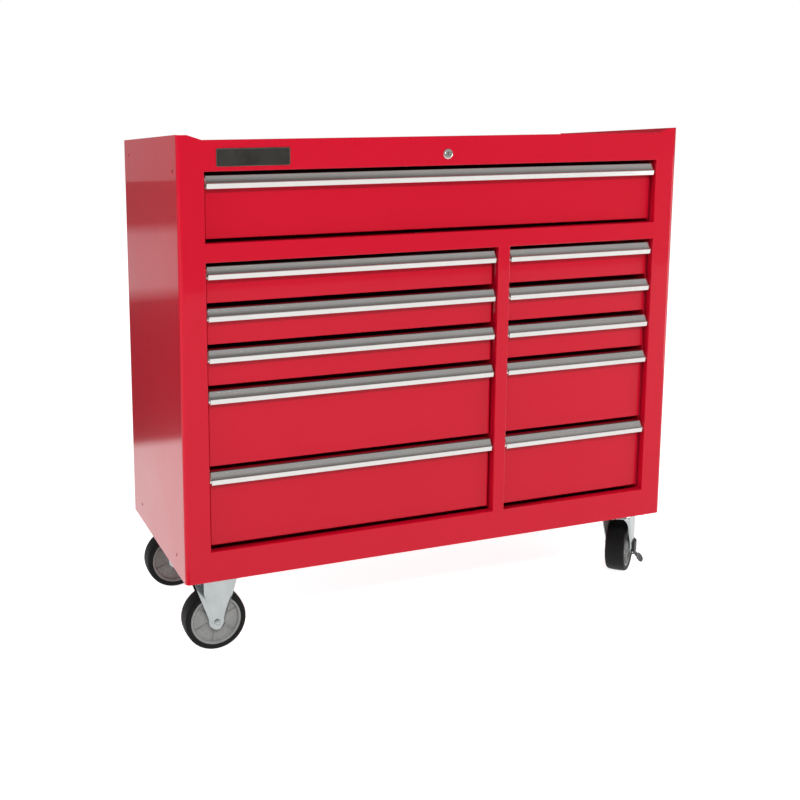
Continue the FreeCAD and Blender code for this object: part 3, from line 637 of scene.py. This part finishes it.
def drawer_box(name):
    """Folded front, pressed tub with its rim rolled over, and the liner on its floor."""
    low, high = box_mm(f"drawer_{name}_box")
    body = f"drawer_{name}"
    left, right = tub_sides(name)
    front, back = low[1] + SKIN, high[1]
    floor, top = low[2] + TUB_RISE, high[2] - TUB_FALL
    open_pan(f"drawer_{name}_front", low, (high[0], low[1] + FRONT_FOLD, high[2]), "+y", SHEET, 1.4, body,
             (f"drawer_{name}_box",))
    open_pan(f"drawer_{name}_tub", (left, front, floor), (right, back, top - 0.6), "+z", SHEET, 2.0, body)
    bm = bmesh.new()
    rim_low = top - RIM_DEPTH
    for x in (left + 0.6, right - 0.6):
        add_bar(bm, rectangle((x - RIM / 2, rim_low), (x + RIM / 2, top), 0.8), "y", front + FRONT_FOLD,
                back - 0.2)
    add_bar(bm, rectangle((back - 0.6 - RIM / 2, rim_low), (back - 0.1, top), 0.8), "x", left + 1.6,
            right - 1.6)
    finish_piece(f"drawer_{name}_rim", bm, RED, body)
    bm = bmesh.new()
    add_bar(bm, rectangle((left + 3, front + 14), (right - 3, back - 4), 6), "z", floor + 1.1, floor + 3.0)
    finish_piece(f"drawer_{name}_liner", bm, LINER, body, bevel=0.5)


def slide_member(bm, edge, way, middle, sizes, web_far=True):
    """One rolled member of a slide: a channel whose open side faces the other member."""
    near, far, half = sizes
    web, open_side = edge + way * far, edge + way * near
    if not web_far:
        web, open_side = open_side, web
    turn = SKIN if web > open_side else -SKIN
    add_strip(bm, [(open_side, middle - half), (web, middle - half, 2.4), (web, middle + half, 2.4),
                   (open_side, middle + half)], turn, "y", SLIDE_FRONT, SLIDE_BACK)


def drawer_slides(name):
    """Drawer, middle and cabinet members on each side, with balls and cages between them."""
    body, mid_body = f"drawer_{name}", f"drawer_{name}_mid"
    drawer_bm, mid_bm, ball_bm = bmesh.new(), bmesh.new(), bmesh.new()
    middle = box_mm(f"drawer_{name}_box")[0][2] + SLIDE_RISE
    for edge, way in zip(tub_sides(name), (-1, 1)):
        slide_member(drawer_bm, edge, way, middle, DRAWER_MEMBER, web_far=False)
        slide_member(mid_bm, edge, way, middle, MID_MEMBER)
        slide_member(CABINET, edge, way, middle, CABINET_MEMBER)
        for step in range(BALLS):
            for up in (-1, 1):
                for out, rise, radius, end, along in BALL_ROWS:
                    y = end + along * (BALL_START + step * BALL_STEP)
                    add_ball(ball_bm, (edge + way * out, y, middle + up * rise), radius)
        for up in (-1, 1):
            for out, rise, _, end, along in BALL_ROWS:
                x, z = edge + way * out, middle + up * rise
                y_low, y_high = sorted((end + along * CAGE_START, end + along * CAGE_END))
                add_block(ball_bm, (x - CAGE_HALF[0], y_low, z - CAGE_HALF[1]),
                          (x + CAGE_HALF[0], y_high, z + CAGE_HALF[1]))
        bumper = rectangle((edge + way * 1.6, middle - 9), (edge + way * 5.4, middle + 9), 1)
        add_bar(drawer_bm, bumper, "y", SLIDE_FRONT + 2, SLIDE_FRONT + 7)
    finish_piece(f"drawer_{name}_members", drawer_bm, SLIDE, body, bevel=0.2)
    finish_piece(f"drawer_{name}_mid_members", mid_bm, SLIDE, mid_body,
                 (f"drawer_{name}_mid_rails",), bevel=0.2)
    finish_piece(f"drawer_{name}_balls", ball_bm, BALL, mid_body)


def drawer_pull(name):
    """Extruded aluminium pull: top ledge, hollow slope and a bright lip, open underneath."""
    low, high = box_mm(f"drawer_{name}_pull")
    face, nose = high[1], low[1]
    top, foot = high[2] + 1, low[2]
    lip_top = foot + PULL_LIP
    slope = []
    for step in range(9):
        part = step / 8
        y = face - PULL_LEDGE - (face - PULL_LEDGE - (nose + PULL_NOSE)) * part
        straight = top - 0.6 - (top - 0.6 - lip_top) * part
        slope.append((y, straight - HOLLOW * math.sin(math.pi * part)))
    lip = [(nose + 1.3, lip_top + 0.3, 0.5), (nose + 0.1, lip_top - 0.7, 0.7), (nose, lip_top - 1.6, 1.5),
           (nose + 1.2, foot + 0.9, 1.2), (nose + 2.0, foot, 0.8), (nose + 3.0, foot + 0.5, 0.5),
           (nose + 2.4, lip_top - 2.4, 1.0)]
    under = [(y, z - PULL_WALL) for y, z in reversed(slope[2:-1])]
    ledge = [(face - 0.02, foot + 0.3), (face - 0.02, top - 0.3, 0.3), (face - 2.6, top - 0.1, 0.3)]
    wall = [(face - 1.7, top - 3.4, 0.4), (face - 1.7, foot + 0.3)]
    bm = bmesh.new()
    add_bar(bm, ledge + slope + lip + under + wall, "x", low[0], high[0])
    finish_piece(f"drawer_{name}_handle", bm, ALUMINIUM, f"drawer_{name}",
                 (f"drawer_{name}_pull",), sharp=32)


# ---------------- lock and badge
def lock():
    """Barrel, plug with its keyway, and the cam on the plug's tail."""
    bm = bmesh.new()
    add_turned(bm, [(6.45, -1.3), (7.0, -1.5), (9.0, -1.35), (9.75, -0.9), (10, -0.2), (10, 0), (8.95, 0.02),
                    (8.95, 20), (6.45, 20)], 72, LOCK, "y")
    finish_piece("lock_barrel", bm, CHROME, "case", ("lock_body",))
    bm = bmesh.new()
    add_turned(bm, [(0, -1.1), (4.4, -1.15), (5.9, -1.0), (6.2, -0.7), (6.2, 21), (0, 21)], 64, LOCK, "y",
               closed=False)
    plug = finish_piece("lock_plug", bm, CHROME, "lock_cylinder", ("lock_cylinder",))
    narrow, wide, z = 0.75, 1.25, LOCK[2]
    keyway = [(MIDDLE - narrow, z - 4, 0.4), (MIDDLE + narrow, z - 4, 0.4), (MIDDLE + narrow, z - 0.6, 0.2),
              (MIDDLE + wide, z - 0.2, 0.2), (MIDDLE + wide, z + 4, 0.5), (MIDDLE - wide, z + 4, 0.5),
              (MIDDLE - wide, z + 1, 0.2), (MIDDLE - narrow, z + 0.6, 0.2)]
    cutter = bmesh.new()
    add_bar(cutter, keyway, "y", FRONT - 3, FRONT + 12)
    carve(plug, cutter)
    bm = bmesh.new()
    finger = rectangle((MIDDLE - 3.4, z - 3.4), (MIDDLE + 23.5, z + 3.4), 3)
    add_bar(bm, finger, "y", FRONT + 21.05, FRONT + 23.9, steps=8)
    finish_piece("lock_cam", bm, ZINC, "lock_cylinder", bevel=0.3)


def recolour(node_name, material, bevel):
    """Keep a CAD node and give it a finished material, with its edges eased."""
    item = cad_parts[node_name]
    for slot in item.material_slots:
        slot.material = material
    add_bevel(item, bevel, 2, 40)


def badge():
    """Blank badge: a dark field inside a bright raised border."""
    low, high = box_mm("badge_plate")
    outer = rounded(rectangle((low[0], low[2]), (high[0], high[2]), 3), steps=6)
    centre = Vector(((low[0] + high[0]) / 2, (low[2] + high[2]) / 2))
    size = Vector((high[0] - low[0], high[2] - low[2]))

    def inset(distance):
        scale = ((size.x - 2 * distance) / size.x, (size.y - 2 * distance) / size.y)
        return [Vector((centre.x + (p.x - centre.x) * scale[0], centre.y + (p.y - centre.y) * scale[1]))
                for p in outer]

    bm = bmesh.new()
    profile = [(outer, high[1]), (outer, low[1] + 0.3), (inset(0.3), low[1]), (inset(1.3), low[1]),
               (inset(1.6), low[1] + 0.35)]
    rings = [[bm.verts.new((p.x, y, p.y)) for p in ring] for ring, y in profile]
    for one, two in zip(rings, rings[1:]):
        join_rings(bm, one, two)
    bm.faces.new(rings[0])
    field = bm.faces.new(reversed(rings[-1]))
    field.material_index = 1
    piece = finish_piece("badge_blank", bm, BORDER, "case", ("badge_plate",), sharp=60)
    piece.data.materials.append(BADGE)


# ---------------- casters
PLATE, PLATE_RADIUS, PLATE_LOW = (50, 46), 7, BASE - 4
BOLT_X, BOLT_Y, SHANK = 38, 37, 3.9
LEG_FACE, LEG_SHEET = 29.4, 2.4  # outer face of a leg from the wheel's middle
LEG_TIP, LEG_WAIST, LEG_FLARE = 15, 14.4, 6  # radius at the axle, half width above it, flare on top
TRAIL = 40  # from the swivel's centre to the axle
FORK_TOP = 143.4  # top of a swivel fork's legs
RIBS, FIRST_RIB = 6, 23
PIN = (-33, 47.5)  # brake's hinge pin: across the fork, and its height
HOUSING_START, HOUSING_END = 28, 52


def caster_place(name):
    """Wheel centre and swivel centre in millimetres."""
    low, high = box_mm(f"{name}_wheel_core")
    axle = Vector(((low[0] + high[0]) / 2, (low[1] + high[1]) / 2, WHEEL))
    if name.startswith("rigid"):
        return axle, axle
    angle = math.radians(CASTERS[name])
    return axle, axle - Vector((math.cos(angle), math.sin(angle), 0)) * TRAIL


def wheel(name):
    """Grey nylon centre with shallow ribs, and a black tyre with a crowned tread."""
    place, _ = caster_place(name)
    body = f"{name}_wheel"
    bm = bmesh.new()
    add_turned(bm, mirrored([(5.2, 24), (12.5, 24), (14.5, 23), (15.4, 21), (16.2, 16.8), (19, 15.2),
                             (40, 14.2), (43.5, 15), (45.0, 18.6), (46.2, 20), (50.1, 20)]), 72)
    for side in (-1, 1):
        for k in range(RIBS):
            rib = bmesh.new()
            outline = [(17, -1.5, 0.6), (42.5, -1.1, 0.4), (42.5, 1.1, 0.4), (17, 1.5, 0.6)]
            add_bar(rib, outline, "z", 14, 17.6)
            turn_about(rib, FIRST_RIB + 360 / RIBS * k, "Z")
            turn_about(rib, 90 * side, "X")
            join(bm, rib)
    shift(bm, place, CASTERS[name])
    finish_piece(f"{name}_disc", bm, GREY, body, (f"{name}_wheel_core",), bevel=0.35)
    bm = bmesh.new()
    add_turned(bm, mirrored([(50.2, 21), (51.6, 21.5), (57, 21.5), (58.4, 21.0), (59.6, 19.8), (60.6, 17.8),
                             (61.1, 12), (61.45, 5), (61.5, 0.9), (61.2, 0.4)]), 96)
    shift(bm, place, CASTERS[name])
    finish_piece(f"{name}_tread", bm, TYRE, body, (f"{name}_wheel_tyre",), sharp=50)


def add_leg(bm, axle_x, left_top, right_top, high, side):
    """Pressed fork leg: flat middle, flanks folded inwards, flared top and a round tip at the axle."""
    narrow = WHEEL + 6
    heights = [high - drop for drop in (0, 3, 7, 12, 20, 32, 46, 60)]
    heights += [WHEEL + rise for rise in (14, 6, 0, -5, -9.5, -12.6, -14.5)]
    rows = []
    for z in heights:
        if z > narrow:
            part = (z - narrow) / (high - narrow)
            flare = LEG_FLARE * max(0.0, 1 - (high - z) / 14) ** 2
            left = -LEG_WAIST + (left_top + LEG_WAIST + LEG_FLARE) * part - flare
            right = LEG_WAIST + (right_top - LEG_WAIST - LEG_FLARE) * part + flare
        else:
            right = math.sqrt(LEG_TIP ** 2 - min(0, z - WHEEL) ** 2) * 0.985
            left = -right
        fold = min(5.2, 0.25 * min(-left, right)) + 7 * max(0, z - 2 * WHEEL) / 33
        run = fold / 0.6
        across = ((left, fold), (left + run, 0), (0, 0), (right - run, 0), (right, fold))
        rows.append([bm.verts.new((axle_x + x, side * (LEG_FACE - depth), z)) for x, depth in across])
    for one, two in zip(rows, rows[1:]):
        for a, b, c, d in zip(one, one[1:], two[1:], two):
            bm.faces.new((a, b, c, d) if side < 0 else (d, c, b, a))


def top_plate(bm, bolt_bm, pivot):
    """A caster's top plate with its four bolts, nuts and washers."""
    part = bmesh.new()
    outline = rectangle((-PLATE[0], -PLATE[1]), PLATE, PLATE_RADIUS)
    add_bar(part, outline, "z", PLATE_LOW, BASE - 0.02, steps=6)
    shift(part, (pivot.x, pivot.y, 0))
    join(bm, part)
    tip = BASE + 8.1
    shank = [(0, PLATE_LOW), (SHANK, PLATE_LOW), (SHANK, tip - 0.4), (SHANK - 0.5, tip), (0, tip)]
    for x in (pivot.x - BOLT_X, pivot.x + BOLT_X):
        for y in (pivot.y - BOLT_Y, pivot.y + BOLT_Y):
            add_hexagon(bolt_bm, 12.8, 5.4, 0, (x, y, PLATE_LOW), "z", -1)
            add_turned(bolt_bm, washer(7.6, 0.3, -1), 32, (x, y, PLATE_LOW), "z", closed=False)
            add_hexagon(bolt_bm, 12.8, 6, 4, (x, y, BASE + SKIN), "z", 1)
            add_turned(bolt_bm, shank, 24, (x, y, 0), "z", closed=False)


def rigid_fork(leg_bm, bolt_bm, pivot):
    """Two legs, and the axle bolt with a washer and a nut on each side."""
    for side in (-1, 1):
        leg = bmesh.new()
        add_leg(leg, 0, -52, 52, PLATE_LOW, side)
        shift(leg, (pivot.x, pivot.y, 0))
        join(leg_bm, leg)
        out = pivot.y + side * LEG_FACE
        add_turned(bolt_bm, washer(8.2, 0.2, side), 32, (pivot.x, out, WHEEL), "y", closed=False)
        add_hexagon(bolt_bm, 12.2, 4.4, 4.2, (pivot.x, out + side * 1.05, WHEEL), "y", side)
    bolt = [(0, -35.4), (3.4, -35.4), (4.1, -34.6), (4.1, 34.6), (3.4, 35.4), (0, 35.4)]
    add_turned(bolt_bm, bolt, 24, (pivot.x, pivot.y, WHEEL), "y", closed=False)


def forks():
    """All that carries the wheels: plates, legs and bolts."""
    plate_bm, leg_bm, bolt_bm = bmesh.new(), bmesh.new(), bmesh.new()
    for name in CASTERS:
        _, pivot = caster_place(name)
        rigid = name.startswith("rigid")
        top_plate(plate_bm if rigid else SWIVEL, bolt_bm, pivot)
        if rigid:
            rigid_fork(leg_bm, bolt_bm, pivot)
    finish_piece("rigid_top_plates", plate_bm, ZINC, "case", bevel=0.5)
    finish_piece("rigid_legs", leg_bm, ZINC, "case", ("rigid_caster_forks",), sheet=LEG_SHEET,
                 recalc=False, sharp=10, even=False)
    finish_piece("caster_bolts", bolt_bm, ZINC, "case", ("caster_fasteners",), sharp=28)
    for name, angle in CASTERS.items():
        if name.startswith("swivel"):
            swivel_fork(name, angle)
            brake(name, angle)
    finish_piece("swivel_top_plates", SWIVEL, ZINC, "case", ("swivel_caster_plates",),
                 bevel=0.4)


def swivel_fork(name, angle):
    """Fixed race and kingpin under the plate, and the turning crown, bridge, legs and axle."""
    _, pivot = caster_place(name)
    centre, body = (pivot.x, pivot.y, 0), f"{name}_fork"
    race = bmesh.new()
    add_turned(race, [(0, PLATE_LOW), (30, PLATE_LOW), (32.4, BASE - 5), (33, BASE - 7), (32.2, BASE - 9.8),
                      (6, BASE - 9.9), (6, FORK_TOP), (0, FORK_TOP)], 56, axis="z", closed=False)
    add_turned(race, [(0, 142.9), (6, 142.9), (9.4, 142.4), (9.8, 140.9), (8, 139.6), (0, 139.4)], 40,
               axis="z", closed=False)
    shift(race, centre)
    join(SWIVEL, race)
    bm = bmesh.new()
    add_turned(bm, [(6.4, 143.6), (12, 143.6), (20, 144.4), (31, 143.6), (34.6, 143.8), (36, 145.6),
                    (35.4, 148.2), (32.4, 149.3), (6.4, 149.4)], 56, axis="z")
    shift(bm, centre, angle)
    finish_piece(f"{name}_crown", bm, ZINC, body, (f"{name}_fork",))
    bm = bmesh.new()
    add_bar(bm, rectangle((-30, -28), (56, 28), 6), "z", 143.2, 145.6, steps=5)
    shift(bm, centre, angle)
    bridge = finish_piece(f"{name}_bridge", bm, ZINC, body, bevel=0.6)
    cutter = bmesh.new()
    add_turned(cutter, round_bar(10.5, 130, 160), 40, centre, "z", closed=False)
    carve(bridge, cutter)
    bm = bmesh.new()
    for side in (-1, 1):
        add_leg(bm, TRAIL, -70, 16, FORK_TOP, side)
    shift(bm, centre, angle)
    finish_piece(f"{name}_legs", bm, ZINC, body, sheet=LEG_SHEET, recalc=False, sharp=10,
                 even=False)
    bm = bmesh.new()
    add_turned(bm, [(0, -27.6), (4.9, -27.6), (4.9, 33), (4.2, 33.8), (0, 33.8)], 24, (TRAIL, 0, WHEEL), "y",
               closed=False)
    add_hexagon(bm, 12.2, 5.6, 4.4, (TRAIL, 28.05, WHEEL), "y", 1)
    shift(bm, centre, angle)
    finish_piece(f"{name}_axle", bm, ZINC, body, sharp=28)


def brake(name, angle):
    """Housing on one leg with the ears of a hinge, its pin, and the pedal."""
    _, pivot = caster_place(name)
    centre, body = (pivot.x, pivot.y, 0), f"{name}_fork"
    bm = bmesh.new()
    add_bar(bm, [(-37, 52, 1.5), (-28.02, 52, 0.5), (-28.02, 75, 0.5), (-32, 75, 3), (-37, 70, 3)], "x",
            HOUSING_START, HOUSING_END)
    for start in (HOUSING_START, HOUSING_END - 3):
        add_bar(bm, [(-37, 43, 3), (-29, 43, 3), (-29, 52.4), (-37, 52.4)], "x", start, start + 3)
    shift(bm, centre, angle)
    finish_piece(f"{name}_housing", bm, HOUSING, body, bevel=0.7, segments=3)
    bm = bmesh.new()
    add_turned(bm, round_bar(2.0, HOUSING_START - 0.4, HOUSING_END + 0.4), 20, (0, *PIN), "x", closed=False)
    shift(bm, centre, angle)
    finish_piece(f"{name}_brake_pin", bm, ZINC, body)
    bm = bmesh.new()
    add_pad(bm)
    add_bar(bm, rectangle((-8, -12), (8, -2)), "z", -1.2, 1.0)
    add_turned(bm, [(2.15, -8.5), (3.6, -8.5), (4, -8.1), (4, 8.1), (3.6, 8.5), (2.15, 8.5)], 32, axis="x")
    turn_about(bm, 50, "X")
    bmesh.ops.translate(bm, verts=bm.verts, vec=(TRAIL, *PIN))
    shift(bm, centre, angle)
    finish_piece(f"{name}_pedal", bm, PEDAL, f"{name}_brake", (f"{name}_brake_pedal",),
                 bevel=0.3, sharp=45)


def add_pad(bm):
    """The pedal's pad: a dished oval with a rounded edge, out from the hinge."""
    half_width, half_length, out, count = 16, 10.4, -19.5, 40
    section = ((0.0, 0.1), (0.45, 0.3), (0.75, 1.0), (0.9, 2.2), (0.97, 3.0), (1.0, 2.6), (0.99, 1.5),
               (0.9, 0.4), (0.75, -0.6), (0.45, -1.1), (0.0, -1.3))

    def squarer(value):
        return math.copysign(abs(value) ** 0.85, value)

    rings = []
    for reach, height in section:
        turns = [2 * math.pi * k / count for k in range(count if reach else 1)]
        rings.append([bm.verts.new((half_width * reach * squarer(math.cos(turn)),
                                    out + half_length * reach * squarer(math.sin(turn)), height))
                      for turn in turns])
    for one, two in zip(rings, rings[1:]):
        join_rings(bm, one, two)


# ---------------- build
CABINET = bmesh.new()
SWIVEL = bmesh.new()
case_shell()
case_parts()
for each in DRAWERS:
    drawer_box(each)
    drawer_slides(each)
    drawer_pull(each)
finish_piece("cabinet_members", CABINET, SLIDE, "case", ("slide_cabinet_rails",), bevel=0.2)
lock()
recolour("lock_bar", ZINC, 0.3)
badge()
for each in CASTERS:
    wheel(each)
forks()


# ---------------- stage, light and camera (metres)
FLOOR_SIDE, FLOOR_NEAR, FLOOR_FAR = 9, -4, 9
# what gloss sees on the floor: tenths of a metre towards the back, and brightness
FLOOR_BANDS = ((0.118, 0.95), (0.126, 0.05), (0.34, 0.05), (0.38, 0.5), (0.56, 0.45), (0.62, 0.08))
SHADE_PLACE, SHADE_RADIUS = (-0.071, -0.044, 0), 0.018


def by_ray(tree, output, plain, in_gloss, to_camera):
    """A shader as the output, with others for glossy rays and for the camera's."""
    ray = tree.nodes.new("ShaderNodeLightPath")
    for kind, special in (("Is Glossy Ray", in_gloss), ("Is Camera Ray", to_camera)):
        mix = tree.nodes.new("ShaderNodeMixShader")
        tree.links.new(ray.outputs[kind], mix.inputs["Fac"])
        tree.links.new(plain, mix.inputs[1])
        tree.links.new(special, mix.inputs[2])
        plain = mix.outputs["Shader"]
    tree.links.new(plain, tree.nodes[output].inputs["Surface"])


def floor_in_gloss(tree):
    """The floor as gloss sees it: a lit sheet, a dark room beyond with one bright stretch, and a shadow."""
    tenths = coordinates(tree, (0.1, 0.1, 0.1))
    split = tree.nodes.new("ShaderNodeSeparateXYZ")
    tree.links.new(tenths, split.inputs["Vector"])
    bands = tree.nodes.new("ShaderNodeValToRGB")
    for place, shade in FLOOR_BANDS:
        element = bands.color_ramp.elements.new(place)
        element.color = (shade, shade, shade, 1)
    for end in (0, -1):
        shade = FLOOR_BANDS[end][1]
        bands.color_ramp.elements[end].color = (shade, shade, shade, 1)
    tree.links.new(split.outputs["Y"], bands.inputs["Fac"])
    distance = tree.nodes.new("ShaderNodeVectorMath")
    distance.operation = "DISTANCE"
    distance.inputs[1].default_value = SHADE_PLACE
    tree.links.new(tenths, distance.inputs[0])
    near = tree.nodes.new("ShaderNodeMath")
    near.operation = "LESS_THAN"
    near.inputs[1].default_value = SHADE_RADIUS
    tree.links.new(distance.outputs["Value"], near.inputs[0])
    shaded = node(tree, "ShaderNodeMixRGB", Color2=(0.07, 0.08, 0.09, 1))
    tree.links.new(near.outputs["Value"], shaded.inputs["Fac"])
    tree.links.new(bands.outputs["Color"], shaded.inputs["Color1"])
    seen = tree.nodes.new("ShaderNodeEmission")
    tree.links.new(shaded.outputs["Color"], seen.inputs["Color"])
    return seen.outputs["Emission"]


def floor_material():
    """White paper that glows a little for the camera, so that it meets the surround without a line."""
    material, tree, shader = new_material("pale_floor")
    tree.links.new(ramp(tree, noise(tree, coordinates(tree), 2.0), 0.93, 0.95), shader.inputs["Base Color"])
    shader.inputs["Roughness"].default_value = 0.8
    shader.inputs["Specular IOR Level"].default_value = 0.05
    glow = node(tree, "ShaderNodeEmission", Strength=0.85)
    lit = tree.nodes.new("ShaderNodeAddShader")
    tree.links.new(shader.outputs["BSDF"], lit.inputs[0])
    tree.links.new(glow.outputs["Emission"], lit.inputs[1])
    by_ray(tree, "Material Output", shader.outputs["BSDF"], floor_in_gloss(tree), lit.outputs["Shader"])
    return material


def stage():
    """The floor, which is no part of the chest."""
    bm = bmesh.new()
    for x, y in ((-FLOOR_SIDE, FLOOR_NEAR), (FLOOR_SIDE, FLOOR_NEAR), (FLOOR_SIDE, FLOOR_FAR),
                 (-FLOOR_SIDE, FLOOR_FAR)):
        bm.verts.new((x, y, 0))
    bm.faces.new(bm.verts)
    mesh = bpy.data.meshes.new("floor")
    bm.to_mesh(mesh)
    bm.free()
    floor = bpy.data.objects.new("floor", mesh)
    bpy.context.collection.objects.link(floor)
    mesh.materials.append(floor_material())


def surround():
    """White for the camera, soft fill for matt surfaces, and a ceiling that darkens upwards for gloss."""
    world = bpy.data.worlds.new("studio")
    bpy.context.scene.world = world
    world.use_nodes = True
    tree = world.node_tree
    tree.nodes.remove(tree.nodes["Background"])
    direction = tree.nodes.new("ShaderNodeTexCoord")
    height = tree.nodes.new("ShaderNodeSeparateXYZ")
    tree.links.new(direction.outputs["Generated"], height.inputs["Vector"])
    ceiling = tree.nodes.new("ShaderNodeBackground")
    tree.links.new(ramp(tree, height.outputs["Z"], 0.31, 0.04, 0.6, 0.87), ceiling.inputs["Color"])
    fill = node(tree, "ShaderNodeBackground", Color=(1, 1, 1, 1), Strength=0.33)
    white = node(tree, "ShaderNodeBackground", Color=(1, 1, 1, 1), Strength=1.0)
    by_ray(tree, "World Output", *(light.outputs["Background"] for light in (fill, ceiling, white)))


def soft_light(name, at, aim, size, power, glossy=True):
    lamp = bpy.data.lights.new(name, "AREA")
    lamp.shape = "RECTANGLE"
    lamp.size, lamp.size_y = size
    lamp.energy = power
    item = bpy.data.objects.new(name, lamp)
    bpy.context.collection.objects.link(item)
    item.location = at
    item.visible_glossy = glossy
    item.rotation_euler = (Vector(aim) - Vector(at)).to_track_quat("-Z", "Y").to_euler()


def camera():
    """Seen from the front left, a little above the chest."""
    data = bpy.data.cameras.new("camera")
    item = bpy.data.objects.new("camera", data)
    bpy.context.collection.objects.link(item)
    yaw, pitch, roll = math.radians(24.15), math.radians(10.82), math.radians(0.70)
    ahead = Vector((math.sin(yaw) * math.cos(pitch), math.cos(yaw) * math.cos(pitch), -math.sin(pitch)))
    right = Vector((math.cos(yaw), -math.sin(yaw), 0))
    up = right.cross(ahead)
    right, up = math.cos(roll) * right + math.sin(roll) * up, math.cos(roll) * up - math.sin(roll) * right
    turn = Matrix((right, up, -ahead)).transposed().to_4x4()
    item.matrix_world = Matrix.Translation((-1.0921, -2.5131, 1.1588)) @ turn
    data.sensor_width = 36
    data.lens = 58.38
    data.shift_x, data.shift_y = -0.0231, -0.125
    data.clip_start, data.clip_end = 0.05, 100
    bpy.context.scene.camera = item


stage()
surround()
soft_light("key", (-0.5, -4.0, 3.2), (0, 0, 0.6), (2.6, 0.5), 112, glossy=False)
soft_light("right_card", (2.2, -1.3, 0.4), (0, -0.2, 0.2), (1.4, 0.8), 12)
soft_light("left_fill", (-3.6, -0.4, 1.6), (-0.5, 0, 0.5), (2.0, 2.0), 48, glossy=False)
camera()
bpy.context.scene.view_settings.view_transform = "Standard"
